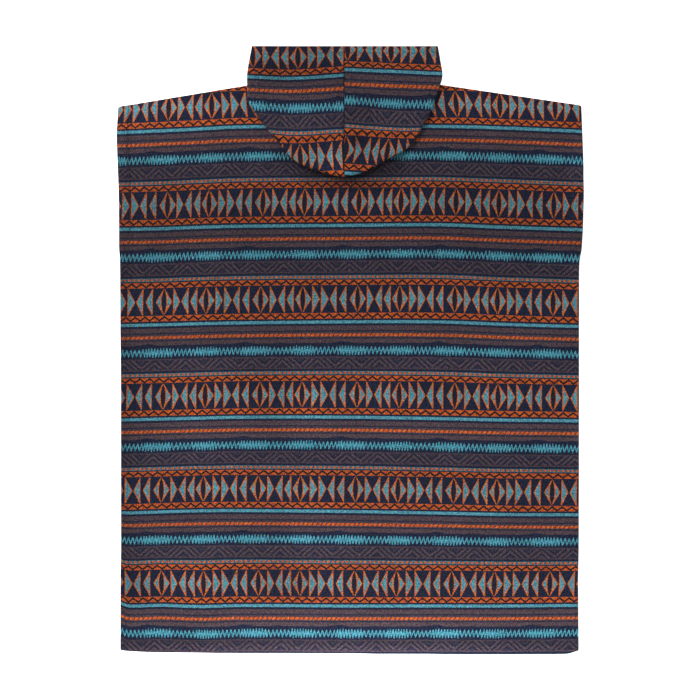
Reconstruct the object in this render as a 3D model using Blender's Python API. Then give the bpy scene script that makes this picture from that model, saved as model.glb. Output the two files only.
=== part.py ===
"""Hooded bath poncho of velour towelling, laid flat on its front with the hood folded back.

Four pieces are cut: a front panel, a back panel and the two halves of the hood. The front panel
lies on the surface, the back panel lies on it, and each half of the hood is one wall of cloth that
runs from the crown seam to the fold of its outline and back underneath: as the nape over the back
panel, and as the throat beyond the shoulders, down to the front neckline.

Frame: metres, +Z up. The origin is on the surface, under the middle of the garment's outline.
+Y runs from the hem to the hood, and +X to the right as the back is seen from above.
"""
import math

import bmesh
import bpy
from mathutils import Vector

# ---- cloth -----------------------------------------------------------------------------------
CLOTH = 0.0024          # thickness of the towelling, pile to pile
GAP = 0.0003            # clearance between layers and at seams
HEM_DEPTH = 0.024       # depth of the turned hems
HEM_RISE = 0.0009       # what a turned hem adds to the thickness
LAYER = CLOTH + GAP     # height from one layer of cloth to the next

# ---- body: outline of the laid garment -------------------------------------------------------
SEAM_X = -0.0112        # centre seam of the hood and middle of the neck
NECK_HALF = 0.130       # half the width of the neck
NECK_Y = 0.512          # height of the neck points, where shoulders and neckline meet
BACK_NECK_DROP = 0.030  # depth of the neckline of the back
FRONT_NECK_DROP = 0.075
NECK_POWER = 2.4        # roundness of the necklines
ARMHOLE_Y = 0.185       # lower end of the armholes, where the side seams start
ARMHOLE_FADE = 0.020    # stretch over which the armhole hem runs out
LEFT_SHOULDER = (-0.4408, 0.4622)
RIGHT_SHOULDER = (0.4385, 0.4650)
CORNER_DROP = 0.0015    # how far the very corner of a shoulder is rounded off
CORNER_SHARE = 0.015    # share of the shoulder's length that is rounded

# side edges of both panels: y, left x, right x
SIDES = (
    (-0.578, -0.4361, 0.4332),
    (-0.430, -0.4361, 0.4323),
    (-0.380, -0.4366, 0.4342),
    (0.148, -0.4370, 0.4342),
    (0.171, -0.4372, 0.4351),
    (0.193, -0.4389, 0.4389),
    (0.225, -0.4389, 0.4408),
    (0.285, -0.4392, 0.4427),
    (0.350, -0.4415, 0.4427),
    (0.406, -0.4437, 0.4408),
    (0.463, -0.4408, 0.4385),
    (0.530, -0.4408, 0.4385),
)
# hem of both panels: x, y
HEM = (
    (-0.4361, -0.5686),
    (-0.4220, -0.5705),
    (-0.3840, -0.5724),
    (-0.2470, -0.5743),
    (0.0040, -0.5748),
    (0.0500, -0.5760),
    (0.3920, -0.5760),
    (0.4140, -0.5748),
    (0.4332, -0.5690),
)
# where the front panel shows past the back panel
PEEK_ARMHOLE = 0.0010   # at the right armhole
PEEK_ARMHOLE_Y = (0.16, 0.34)
PEEK_FADE = 0.03
PEEK_HEM = 0.0015       # at the right half of the hem
PEEK_HEM_X = (0.10, 0.20)

# soft ridges left where the garment has been folded: x and y of both ends, half width, height
CREASES = (
    (-0.430, 0.168, -0.120, 0.118, 0.036, 0.0014),
    (-0.120, 0.112, 0.430, 0.152, 0.036, 0.0016),
    (-0.140, -0.206, 0.425, -0.226, 0.034, 0.0016),
    (-0.300, -0.010, -0.290, -0.420, 0.040, 0.0012),
    (0.095, 0.060, 0.100, -0.430, 0.038, 0.0014),
    (-0.060, -0.380, -0.030, -0.560, 0.040, 0.0010),
)

# ---- hood --------------------------------------------------------------------------------------
HOOD_TOP_Y = 0.5775     # straight edge of the face opening
TIP_Y = 0.3284          # lowest point, where the crown seam turns under
PIVOT_Y = 0.4750        # point of the seam from which the lower ribs fan out
PIVOT_REACH = 0.015     # how far above it the last rib of the throat ends
THROAT_SETTLE = 6       # how fast the throat's ribs settle from the fold
FACE_CENTRE_Y = 0.4600  # lowest point of the face opening, at the throat
FACE_BOW = 0.008        # how far the edge of the throat is bowed
FOLD_RADIUS = 0.0023    # mid line of the cloth round the hood's outline
# outlines of the two halves: y, distance from the seam
LEFT_OUTLINE = (
    (0.5775, 0.1758),
    (0.5277, 0.1844),
    (0.5011, 0.1845),
    (0.4745, 0.1832),
    (0.4432, 0.1636),
    (0.4175, 0.1446),
    (0.3871, 0.1199),
    (0.3594, 0.0943),
    (0.3442, 0.0610),
    (0.3330, 0.0268),
    (TIP_Y, 0.0),
)
RIGHT_OUTLINE = (
    (0.5775, 0.1776),
    (0.5505, 0.1822),
    (0.5201, 0.1862),
    (0.4960, 0.1790),
    (0.4793, 0.1735),
    (0.4517, 0.1651),
    (0.4213, 0.1480),
    (0.3947, 0.1301),
    (0.3776, 0.1119),
    (0.3636, 0.0834),
    (0.3510, 0.0625),
    (0.3385, 0.0397),
    (0.3317, 0.0150),
    (TIP_Y, 0.0),
)
FLOOR_MID = CLOTH / 2                               # mid line of cloth that lies on the surface
NAPE_MID = 2 * LAYER + CLOTH / 2                    # mid line of the nape on the back panel
THROAT_LIFT = NAPE_MID - FLOOR_MID - 0.0006         # rise of the throat where it meets a shoulder
THROAT_OUT = 0.0040                                 # distance of the throat from the shoulder edge
NAPE_IN = 0.0015                                    # how far the nape starts inside the neckline
# climb over the shoulder's edge: distance outside the edge, share of the climb
SHOULDER_STEP = (
    (0.0021, 0.22),
    (0.0019, 0.70),
    (0.0008, 1.00),
)
CROWN_EDGE_MID = 0.0050                             # crown at the face opening, by the seam
CROWN_MID = NAPE_MID + 2 * FOLD_RADIUS + 0.0006     # crown over the body
CROWN_BULGE = 0.0016                                # extra height in the middle of the crown
CROWN_HALF = 0.17                                   # half width of that extra height
CROWN_ROUND_Y = 0.10                                # stretch from the tip over which it grows
CROWN_BLEND = 0.4                                   # part of a rib that rises from the fold
CROWN_RISE_Y = (0.5775, 0.5150)                     # stretch over which the crown climbs

# ---- divisions ---------------------------------------------------------------------------------
SHOULDER_COLUMNS = (0.0, 0.005, 0.012, 0.024)       # distances of the outer columns from the side
SHOULDER_STEPS = 8      # further columns across each shoulder
NECK_STEPS = 7          # columns from a neck point to the centre
HEM_ROWS = (0.0, 0.012, 0.024)                      # distances of the lowest rows from the hem
FRONT_ROWS = 12
BACK_ROWS = 34
EDGE_STEP = 0.0005      # stretch over which the slope of an edge is taken
OUTLINE_SAMPLES = 240
THROAT_RIBS = 7
NAPE_RIBS = 24
CROWN_STATIONS = 9
FOLD_STATIONS = 5
SHOULDER_STATIONS = 3   # under the crown, from the fold to the neck point
CURVE_STEPS = 40        # steps between two points of a smoothed line
MERGE = 0.00001         # ribs that end in one point share it
TINY = 1e-9             # keeps a division clear of zero

MATERIALS = {
    "body_towelling": ((0.060, 0.045, 0.062, 1.0), 0.95),
    "hood_towelling": ((0.064, 0.048, 0.066, 1.0), 0.95),
}


# ---- numbers -----------------------------------------------------------------------------------
def lerp(a, b, t):
    """The value a share t of the way from a to b."""
    return a + (b - a) * t


def ease(t):
    """A share from 0 to 1 that starts and stops gently."""
    t = min(max(t, 0.0), 1.0)
    return t * t * (3.0 - 2.0 * t)


def read_table(rows, at, column=1):
    """A column of a table at a value of its first column, on straight lines between rows."""
    if at <= rows[0][0]:
        return rows[0][column]
    for low, high in zip(rows, rows[1:]):
        if at <= high[0]:
            return lerp(low[column], high[column], (at - low[0]) / (high[0] - low[0]))
    return rows[-1][column]


def smooth_line(points, count):
    """count points, evenly spaced along a rounded line through the given points."""
    padded = [2 * points[0] - points[1], *points, 2 * points[-1] - points[-2]]
    dense = []
    for before, start, end, after in zip(padded, padded[1:], padded[2:], padded[3:]):
        span = (end - start).length
        leave = (end - before) * (span / max((end - before).length, TINY))
        arrive = (after - start) * (span / max((after - start).length, TINY))
        for step in range(CURVE_STEPS):
            t = step / CURVE_STEPS
            dense.append(
                start * (2 * t**3 - 3 * t**2 + 1)
                + leave * (t**3 - 2 * t**2 + t)
                + end * (3 * t**2 - 2 * t**3)
                + arrive * (t**3 - t**2)
            )
    dense.append(points[-1])
    lengths = [0.0]
    for a, b in zip(dense, dense[1:]):
        lengths.append(lengths[-1] + (b - a).length)
    line = []
    index = 0
    for k in range(count):
        want = lengths[-1] * k / (count - 1)
        while index < len(dense) - 2 and lengths[index + 1] < want:
            index += 1
        share = (want - lengths[index]) / max(lengths[index + 1] - lengths[index], TINY)
        line.append(dense[index].lerp(dense[index + 1], min(max(share, 0.0), 1.0)))
    return line


# ---- the body's outline and levels ---------------------------------------------------------------
def top_edge(x, neck_drop):
    """Height of the shoulders and neckline at x."""
    across = abs(x - SEAM_X) / NECK_HALF
    if across <= 1.0:
        return NECK_Y - neck_drop * (1.0 - across**NECK_POWER)
    end_x, end_y = LEFT_SHOULDER if x < SEAM_X else RIGHT_SHOULDER
    point_x = SEAM_X + math.copysign(NECK_HALF, x - SEAM_X)
    share = (x - point_x) / (end_x - point_x)
    past = max(share - 1.0 + CORNER_SHARE, 0.0) / CORNER_SHARE
    return lerp(NECK_Y, end_y, share) - CORNER_DROP * past


def hem_rise(x, y):
    """What the turned hems add to the thickness of a panel at a point."""
    at_hem = 1.0 - ease((y - read_table(HEM, x) - HEM_DEPTH / 2) / (HEM_DEPTH / 2))
    from_side = min(x - read_table(SIDES, y, 1), read_table(SIDES, y, 2) - x)
    at_side = 1.0 - ease((from_side - HEM_DEPTH / 2) / (HEM_DEPTH / 2))
    at_side *= ease((y - ARMHOLE_Y) / ARMHOLE_FADE)
    return HEM_RISE * max(at_hem, at_side)


def relief(x, y):
    """Height of the soft fold ridges in the back panel at a point."""
    height = 0.0
    for x0, y0, x1, y1, half_width, rise in CREASES:
        along = Vector((x1 - x0, y1 - y0))
        share = Vector((x - x0, y - y0)).dot(along) / along.length_squared
        nearest = Vector((x0, y0)) + along * min(max(share, 0.0), 1.0)
        distance = (Vector((x, y)) - nearest).length
        height += rise * math.exp(-((distance / half_width) ** 2))
    return height


def front_levels(x, y):
    """Lower and upper level of the front panel."""
    return 0.0, CLOTH + hem_rise(x, y)


def back_levels(x, y):
    """Lower and upper level of the back panel, which lies on the front panel."""
    base = front_levels(x, y)[1] + GAP + relief(x, y)
    return base, base + CLOTH + hem_rise(x, y)


# ---- shells ----------------------------------------------------------------------------------------
def material(name):
    """The named finish."""
    found = bpy.data.materials.get(name)
    if found:
        return found
    colour, roughness = MATERIALS[name]
    found = bpy.data.materials.new(name)
    found.use_nodes = True
    shader = found.node_tree.nodes["Principled BSDF"]
    shader.inputs["Base Color"].default_value = colour
    shader.inputs["Roughness"].default_value = roughness
    shader.inputs["Metallic"].default_value = 0.0
    return found


def closed_wall(name, outer, inner, faces, finish):
    """One closed wall between two sheets of points that share their faces.

    outer and inner list the same points on the two sides of the cloth, and faces wind so that
    their normals leave the outer side. The sheet's free edges are closed by a rim.
    """
    mesh = bmesh.new()
    outer_verts = [mesh.verts.new(point) for point in outer]
    inner_verts = [mesh.verts.new(point) for point in inner]
    edges = {}
    for face in faces:
        mesh.faces.new([outer_verts[i] for i in face])
        mesh.faces.new([inner_verts[i] for i in reversed(face)])
        for a, b in zip(face, face[1:] + face[:1]):
            edges[(a, b)] = True
    for a, b in edges:
        if (b, a) not in edges:
            mesh.faces.new([outer_verts[b], outer_verts[a], inner_verts[a], inner_verts[b]])
    data = bpy.data.meshes.new(name)
    mesh.to_mesh(data)
    mesh.free()
    data.materials.append(material(finish))
    piece = bpy.data.objects.new(name, data)
    bpy.context.scene.collection.objects.link(piece)
    return piece


# ---- panels ----------------------------------------------------------------------------------------
def neck_columns(side):
    """x of the columns from a neck point to the centre, that point first."""
    return [SEAM_X + side * NECK_HALF * (1.0 - k / NECK_STEPS) for k in range(NECK_STEPS + 1)]


def column_tops(neck_drop):
    """The top point of every column, from left to right."""
    left_x, right_x = LEFT_SHOULDER[0], RIGHT_SHOULDER[0]
    left_neck, right_neck = SEAM_X - NECK_HALF, SEAM_X + NECK_HALF
    inner = SHOULDER_COLUMNS[-1]
    across = [left_x + d for d in SHOULDER_COLUMNS]
    across += [lerp(left_x + inner, left_neck, k / SHOULDER_STEPS) for k in range(1, SHOULDER_STEPS)]
    across += neck_columns(-1.0)
    across += neck_columns(1.0)[-2::-1]
    across += [lerp(right_neck, right_x - inner, k / SHOULDER_STEPS) for k in range(1, SHOULDER_STEPS)]
    across += [right_x - d for d in reversed(SHOULDER_COLUMNS)]
    return [Vector((x, top_edge(x, neck_drop))) for x in across]


def panel(name, neck_drop, rows, levels, peek, finish):
    """A body panel: columns of points from the hem to the shoulders and neckline."""
    hem_rows = len(HEM_ROWS)
    columns = []
    for top in column_tops(neck_drop):
        left, right = read_table(SIDES, top.y, 1), read_table(SIDES, top.y, 2)
        across = (top.x - left) / (right - left)
        hem_x = lerp(SIDES[0][1], SIDES[0][2], across)
        hem_y = read_table(HEM, hem_x)
        heights = [hem_y + d for d in HEM_ROWS]
        heights += [
            lerp(hem_y + HEM_ROWS[-1], top.y, k / (rows - hem_rows + 1))
            for k in range(1, rows - hem_rows + 2)
        ]
        column = []
        for y in heights:
            x = lerp(read_table(SIDES, y, 1), read_table(SIDES, y, 2), across)
            column.append((x, y))
        columns.append(column)
    outer, inner = [], []
    for column in columns:
        for x, y in column:
            low, high = levels(x, y)
            px, py = peek(x, y)
            inner.append(Vector((px, py, low)))
            outer.append(Vector((px, py, high)))
    per_column = rows + 1
    faces = []
    for c in range(len(columns) - 1):
        for r in range(rows):
            first = c * per_column + r
            faces.append([first, first + per_column, first + per_column + 1, first + 1])
    return closed_wall(name, outer, inner, faces, finish)


def front_peek(x, y):
    """A point of the front panel, moved out where its edge shows past the back panel."""
    low, high = PEEK_ARMHOLE_Y
    beside = ease((y - low) / PEEK_FADE) * ease((high - y) / PEEK_FADE)
    x += PEEK_ARMHOLE * beside * ease(x / RIGHT_SHOULDER[0])
    below = ease((x - PEEK_HEM_X[0]) / (PEEK_HEM_X[1] - PEEK_HEM_X[0]))
    near_hem = 1.0 - ease((y - read_table(HEM, x)) / HEM_DEPTH)
    return x, y - PEEK_HEM * below * near_hem


def no_peek(x, y):
    """A point of the back panel, where it is."""
    return x, y


# ---- hood ------------------------------------------------------------------------------------------
def outward(x, neck_drop):
    """Unit direction that leaves the body at its shoulder or neckline."""
    step = math.copysign(EDGE_STEP, x - SEAM_X)
    slope = (top_edge(x + step, neck_drop) - top_edge(x, neck_drop)) / step
    return Vector((-slope, 1.0)).normalized()


def beside_edge(x, neck_drop, distance):
    """The point at a distance outside the body's top edge."""
    return Vector((x, top_edge(x, neck_drop))) + outward(x, neck_drop) * distance


def crown_height(x, y):
    """Mid line of the crown away from its fold."""
    rise = ease((CROWN_RISE_Y[0] - y) / (CROWN_RISE_Y[0] - CROWN_RISE_Y[1]))
    round_x = 1.0 - ease(abs(x - SEAM_X) / CROWN_HALF)
    round_y = ease((y - TIP_Y) / CROWN_ROUND_Y) * rise
    return lerp(CROWN_EDGE_MID, CROWN_MID, rise) + CROWN_BULGE * round_x * round_y


class HoodHalf:
    """One half of the hood, as ribs of points that run from the crown seam round to the inside.

    side is -1 for the left half and 1 for the right. A rib is the mid line of the cloth: over the
    crown, round the fold at the outline, and back through the stations of the layer underneath.
    """

    def __init__(self, side, outline_rows):
        self.side = side
        self.seam = SEAM_X + side * GAP / 2
        corners = [Vector((SEAM_X + side * width, y)) for y, width in outline_rows]
        self.outline = smooth_line(corners, OUTLINE_SAMPLES)
        fold_x = self.outline_at(self.share_outside(0.0)).x - side * (FOLD_RADIUS + CLOTH / 2)
        neck_x = neck_columns(side)
        self.stations = [lerp(fold_x, neck_x[0], k / SHOULDER_STATIONS) for k in range(SHOULDER_STATIONS)]
        self.stations += neck_x[:-1] + [self.seam]
        self.last = len(self.stations) - 1
        self.front_edge = [Vector((x, top_edge(x, FRONT_NECK_DROP))) for x in self.stations]
        lengths = [0.0]
        for a, b in zip(self.front_edge, self.front_edge[1:]):
            lengths.append(lengths[-1] + (b - a).length)
        self.run = [length / lengths[-1] for length in lengths]

    def outline_at(self, share):
        """The outline's point at a share of its length."""
        place = share * (OUTLINE_SAMPLES - 1)
        index = min(int(place), OUTLINE_SAMPLES - 2)
        return self.outline[index].lerp(self.outline[index + 1], place - index)

    def share_outside(self, distance):
        """Share of the outline's length at which it is a distance outside the shoulder's edge."""
        for index, point in enumerate(self.outline):
            if point.y - top_edge(point.x, BACK_NECK_DROP) < distance:
                return index / (OUTLINE_SAMPLES - 1)
        return 1.0

    def rib(self, share, seam_y, under):
        """Points of one rib that folds at a share of the outline; under gives its lower layer."""
        edge = self.outline_at(share)
        target = Vector((self.seam, seam_y))
        inward = (target - edge).normalized()
        centre = edge + inward * (CLOTH / 2 + FOLD_RADIUS)
        first_under = under(centre, 0)
        fold_top = first_under.z + 2 * FOLD_RADIUS
        points = []
        for k in range(CROWN_STATIONS + 1):
            t = k / CROWN_STATIONS
            spot = target.lerp(centre, t)
            fold_share = 1.0 - ease((1.0 - t) / CROWN_BLEND)
            height = lerp(crown_height(spot.x, spot.y), fold_top, fold_share)
            points.append(Vector((spot.x, spot.y, height)))
        for k in range(1, FOLD_STATIONS):
            angle = math.pi * (0.5 - k / FOLD_STATIONS)
            spot = centre - inward * (FOLD_RADIUS * math.cos(angle))
            height = first_under.z + FOLD_RADIUS * (1.0 + math.sin(angle))
            points.append(Vector((spot.x, spot.y, height)))
        return points + [first_under] + [under(centre, k) for k in range(1, self.last + 1)]

    def throat_rib(self, across):
        """A rib beyond the shoulders; across runs from the face opening to the front neckline."""
        corner = self.outline_at(0.0)
        bottom = Vector((self.seam, FACE_CENTRE_Y))
        rise = THROAT_LIFT * across**2

        def under(start, k):
            if k == 0:
                return Vector((start.x, start.y, FLOOR_MID + rise))
            face_edge = corner.lerp(bottom, self.run[k])
            face_edge.y += FACE_BOW * math.sin(math.pi * self.run[k])
            clearance = THROAT_OUT if k <= SHOULDER_STATIONS else GAP
            neck_edge = beside_edge(self.stations[k], FRONT_NECK_DROP, clearance)
            spot = face_edge.lerp(neck_edge, across)
            leave = start - corner.lerp(self.front_edge[0], across)
            spot += leave * (1.0 - self.run[k]) ** THROAT_SETTLE
            if k == self.last:
                spot.x = self.seam
            return Vector((spot.x, spot.y, FLOOR_MID + rise * max(1.0 - k / SHOULDER_STATIONS, 0.0)))

        share = self.share_outside(THROAT_OUT) * across
        return self.rib(share, lerp(HOOD_TOP_Y, PIVOT_Y + PIVOT_REACH, across), under)

    def nape_rib(self, down):
        """A rib over the back panel; the first follows its top edge, the last the seam."""
        first_start = beside_edge(self.stations[0], BACK_NECK_DROP, -NAPE_IN)
        end = beside_edge(self.seam, BACK_NECK_DROP, -NAPE_IN)

        def under(start, k):
            if k == 0:
                return Vector((start.x, start.y, NAPE_MID))
            if k == self.last:
                return Vector((self.seam, end.y, NAPE_MID))
            t = (self.stations[k] - self.stations[0]) / (self.seam - self.stations[0])
            follow = beside_edge(self.stations[k], BACK_NECK_DROP, -NAPE_IN) - first_start.lerp(end, t)
            spot = start.lerp(end, t) + follow * (1.0 - down) ** 2
            return Vector((spot.x, spot.y, NAPE_MID))

        return self.rib(lerp(self.share_outside(-NAPE_IN), 1.0, down), PIVOT_Y, under)

    def step_ribs(self, throat, nape):
        """Short ribs that climb over the shoulder's edge, and end at the neck point."""
        under_start = len(throat) - self.last - 1
        ribs = []
        for distance, climb in SHOULDER_STEP:
            mix = (THROAT_OUT - distance) / (THROAT_OUT + NAPE_IN)
            points = [a.lerp(b, mix) for a, b in zip(throat[:under_start], nape)]
            for k in range(under_start, under_start + SHOULDER_STATIONS + 1):
                spot = throat[k].lerp(nape[k], mix)
                spot.z = lerp(throat[k].z, nape[k].z, climb)
                points.append(spot)
            ribs.append(points)
        return ribs

    def ribs(self):
        """All ribs, from the face opening to the tip."""
        throat = [self.throat_rib(j / THROAT_RIBS) for j in range(THROAT_RIBS + 1)]
        nape = [self.nape_rib(j / NAPE_RIBS) for j in range(NAPE_RIBS + 1)]
        return throat + self.step_ribs(throat[-1], nape[0]) + nape

    def build(self, name, finish):
        """The half as one closed wall of cloth. No point of it crosses the seam."""
        sheet = bmesh.new()
        rows = [[sheet.verts.new(point) for point in rib] for rib in self.ribs()]
        for upper, lower in zip(rows, rows[1:]):
            for i in range(min(len(upper), len(lower)) - 1):
                face = [upper[i], upper[i + 1], lower[i + 1], lower[i]]
                sheet.faces.new(face if self.side < 0 else face[::-1])
        bmesh.ops.remove_doubles(sheet, verts=sheet.verts[:], dist=MERGE)
        sheet.normal_update()
        sheet.verts.index_update()
        outer, inner = [], []
        for vert in sheet.verts:
            for points, reach in ((outer, CLOTH / 2), (inner, -CLOTH / 2)):
                point = vert.co + vert.normal * reach
                if (point.x - self.seam) * self.side < 0.0:
                    point.x = self.seam
                points.append(point)
        faces = [[vert.index for vert in face.verts] for face in sheet.faces]
        sheet.free()
        return closed_wall(name, outer, inner, faces, finish)


# ---- garment ---------------------------------------------------------------------------------------
def main():
    """Cut and lay the four pieces."""
    for old in list(bpy.data.objects):
        bpy.data.objects.remove(old, do_unlink=True)
    panel("front_panel", FRONT_NECK_DROP, FRONT_ROWS, front_levels, front_peek, "body_towelling")
    panel("back_panel", BACK_NECK_DROP, BACK_ROWS, back_levels, no_peek, "body_towelling")
    HoodHalf(-1.0, LEFT_OUTLINE).build("hood_left", "hood_towelling")
    HoodHalf(1.0, RIGHT_OUTLINE).build("hood_right", "hood_towelling")


main()
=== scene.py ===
"""Looks of a hooded bath poncho of printed velour towelling, laid flat with its hood folded back.

The four cut pieces of the frame are dressed as thin walls of cloth with rounded edges, turned hems
and soft fold marks, in a banded print that runs on round every fold, and the sewing is laid on them.
Lengths are metres, +Z up, and the print is charted in millimetres of cloth.
"""
from __future__ import annotations

import logging
import math
from collections.abc import Callable, Sequence
from dataclasses import dataclass, field
from enum import Enum

import bmesh
import bpy
import numpy as np
from mathutils import Matrix, Vector, noise
from mathutils.bvhtree import BVHTree


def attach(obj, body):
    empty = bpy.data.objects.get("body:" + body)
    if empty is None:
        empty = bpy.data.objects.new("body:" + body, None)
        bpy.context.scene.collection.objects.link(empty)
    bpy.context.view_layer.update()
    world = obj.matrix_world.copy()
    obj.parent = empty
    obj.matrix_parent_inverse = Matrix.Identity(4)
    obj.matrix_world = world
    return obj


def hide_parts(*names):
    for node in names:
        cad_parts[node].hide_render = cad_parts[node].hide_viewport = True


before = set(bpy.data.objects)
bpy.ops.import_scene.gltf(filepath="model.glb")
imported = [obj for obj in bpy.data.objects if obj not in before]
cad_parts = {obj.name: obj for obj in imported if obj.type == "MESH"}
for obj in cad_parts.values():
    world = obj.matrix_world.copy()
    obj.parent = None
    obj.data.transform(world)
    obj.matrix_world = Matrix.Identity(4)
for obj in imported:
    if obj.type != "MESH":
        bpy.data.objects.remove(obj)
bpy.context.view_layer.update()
LOG = logging.getLogger("poncho")

BODY = "root"                       # the one body that every piece rides on
PRINT_MAP = "Print"                 # place in the print, in repeats across and down the cloth
BAKE_MAP = "OFBake"                 # place in the baked picture
PRESSED_WITH_PAINTED_SHADE = "Pressed"                 # how far the pile is flattened by sewing, with painted shade in its grooves
PAINTED_LIGHT_AND_NAP = "Nap"                         # painted light and shade, with how much paler the pile looks for the way it lies
MM = 1000.0                         # millimetres in a metre
TINY = 1e-9                         # keeps a division clear of zero
WHITE = (1.0, 1.0, 1.0, 1.0)

Socket = bpy.types.NodeSocket
Values = tuple[float, ...]
Pair = tuple[float, float]
Triple = tuple[float, float, float]
Colour = tuple[float, float, float, float]
Table = tuple[Values, ...]
Piece = bpy.types.Object
Amount = float | Vector


# ---- numbers ----
def lerp(a: float, b: float, t: float) -> float:
    """The value a share t of the way from a to b."""
    return a + (b - a) * t


def ease(t: float) -> float:
    """A share from 0 to 1 that starts and stops gently."""
    t = min(max(t, 0.0), 1.0)
    return t * t * (3.0 - 2.0 * t)


def bell(distance: float, half_width: float) -> float:
    """A soft bump of height 1 over a distance."""
    return math.exp(-((distance / half_width) ** 2))


def bend(start: Amount, end: Amount, leave: Amount, arrive: Amount, t: float) -> Amount:
    """The value a share t of the way along a curve that leaves and arrives at the given rates."""
    return (
        start * (2 * t**3 - 3 * t**2 + 1)
        + leave * (t**3 - 2 * t**2 + t)
        + end * (3 * t**2 - 2 * t**3)
        + arrive * (t**3 - t**2)
    )


def read_table(rows: Sequence[Sequence[float]], at: float, column: int = 1) -> float:
    """Read a column of a table on straight lines between its rows, level past both ends.

    Args:
        rows: The table, with its first column rising.
        at: Value of the first column.
        column: Column to read.

    Returns:
        The column's value.
    """
    if at <= rows[0][0]:
        return rows[0][column]
    for low, high in zip(rows, rows[1:]):
        if at <= high[0]:
            return lerp(low[column], high[column], (at - low[0]) / (high[0] - low[0]))
    return rows[-1][column]


def run_through(stops: Sequence[float], values: Sequence[float], at: float) -> float:
    """Read a value on a smooth line through points, which runs on straight past both ends.

    Args:
        stops: Rising places of the points.
        values: The line's value at each of them.
        at: Place to read.

    Returns:
        The line's value there.
    """
    last = len(stops) - 1
    i = 0
    while i < last - 1 and at > stops[i + 1]:
        i += 1
    step = stops[i + 1] - stops[i]
    slope = (values[i + 1] - values[i]) / step
    t = (at - stops[i]) / step
    if t < 0.0 or t > 1.0:
        return values[i] + slope * step * t
    leave = (values[i + 1] - values[i - 1]) / (stops[i + 1] - stops[i - 1]) if i else slope
    arrive = slope
    if i < last - 1:
        arrive = (values[i + 2] - values[i]) / (stops[i + 2] - stops[i])
    return bend(values[i], values[i + 1], leave * step, arrive * step, t)


def find_step(heights: Sequence[float], y: float) -> tuple[int, float]:
    """Between which two of some falling heights y lies: the first's index, and its share of the way."""
    i = 0
    while i < len(heights) - 2 and y < heights[i + 1]:
        i += 1
    return i, (heights[i] - y) / (heights[i] - heights[i + 1])


def lengths_along(points: Sequence[Vector]) -> list[float]:
    """Length of a line up to each of its points."""
    lengths = [0.0]
    for a, b in zip(points, points[1:]):
        lengths.append(lengths[-1] + (b - a).length)
    return lengths


def smooth_line(points: Sequence[Vector], count: int, steps: int = 40) -> list[Vector]:
    """Spread points evenly along a rounded line.

    Args:
        points: Points that the line goes through.
        count: Number of points to return.
        steps: Steps between two of the given points.

    Returns:
        count points, evenly spaced along the line.
    """
    padded = [2 * points[0] - points[1], *points, 2 * points[-1] - points[-2]]
    dense = []
    for before, start, end, after in zip(padded, padded[1:], padded[2:], padded[3:]):
        span = (end - start).length
        leave = (end - before) * (span / max((end - before).length, TINY))
        arrive = (after - start) * (span / max((after - start).length, TINY))
        dense += [bend(start, end, leave, arrive, step / steps) for step in range(steps)]
    dense.append(points[-1])
    lengths = lengths_along(dense)
    line = []
    i = 0
    for k in range(count):
        want = lengths[-1] * k / (count - 1)
        while i < len(dense) - 2 and lengths[i + 1] < want:
            i += 1
        share = (want - lengths[i]) / max(lengths[i + 1] - lengths[i], TINY)
        line.append(dense[i].lerp(dense[i + 1], min(max(share, 0.0), 1.0)))
    return line


def even_steps(start: float, end: float, step: float) -> list[float]:
    """Values between two others, about a step apart, without either of them."""
    count = max(round(abs(end - start) / step), 1)
    return [lerp(start, end, k / count) for k in range(1, count)]


def rounded_edge(radius: float, steps: int = 4) -> list[Pair]:
    """Distance from a rounded edge, and share of the cloth's thickness there, edge first."""
    turns = [math.pi / 2 * k / steps for k in range(steps)]
    return [(radius * (1.0 - math.cos(turn)), math.sin(turn)) for turn in turns]


def fullness(distance: float, radius: float) -> float:
    """Share of the cloth's thickness at a distance from a rounded edge."""
    return math.sqrt(max(1.0 - (1.0 - min(max(distance / radius, 0.0), 1.0)) ** 2, 0.0))


# ---- objects ----
def link(name: str, data: bpy.types.ID) -> Piece:
    """A new object in the scene."""
    made = bpy.data.objects.new(name, data)
    bpy.context.scene.collection.objects.link(made)
    return made


def new_piece(name: str, places: Sequence[Vector], faces: Sequence[Sequence[int]]) -> Piece:
    """A new smooth piece, at the origin, with its place in its mesh."""
    mesh = bpy.data.meshes.new(name)
    mesh.from_pydata(places, [], faces)
    mesh.polygons.foreach_set("use_smooth", [True] * len(faces))
    return link(name, mesh)


def read_whole(items: bpy.types.bpy_prop_collection, name: str) -> np.ndarray:
    """A whole-number property of every item."""
    values = np.zeros(len(items), dtype=np.int32)
    items.foreach_get(name, values)
    return values


# ---- shader trees ----
@dataclass(frozen=True, eq=False)
class Term:
    """A value in a shader tree. Arithmetic adds Math nodes, and a comparison gives 1 or 0."""

    graph: Graph
    socket: Socket

    def __add__(self, other: Feed) -> Term:
        """The sum."""
        return self.graph.math("ADD", self, other)

    def __sub__(self, other: Feed) -> Term:
        """The difference."""
        return self.graph.math("SUBTRACT", self, other)

    def __rsub__(self, other: Feed) -> Term:
        """The difference from a plain number."""
        return self.graph.math("SUBTRACT", other, self)

    def __mul__(self, other: Feed) -> Term:
        """The product."""
        return self.graph.math("MULTIPLY", self, other)

    def __truediv__(self, other: Feed) -> Term:
        """The quotient."""
        return self.graph.math("DIVIDE", self, other)

    def __gt__(self, other: Feed) -> Term:
        """Whether this is more."""
        return self.graph.math("GREATER_THAN", self, other)

    def __lt__(self, other: Feed) -> Term:
        """Whether this is less."""
        return self.graph.math("LESS_THAN", self, other)

    def __abs__(self) -> Term:
        """The value without its sign."""
        return self.graph.math("ABSOLUTE", self)

    def between(self, low: Feed, high: Feed) -> Term:
        """Whether this lies between two others."""
        return (self > low) * (self < high)

    def ranged(self, gain: Feed, floor: Feed) -> Term:
        """The value times a gain, on a floor."""
        return self.graph.math("MULTIPLY_ADD", self, gain, floor)


Feed = Term | float | tuple
Feeds = dict[str | int, Feed]
Terms = dict[str, Term]


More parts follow.
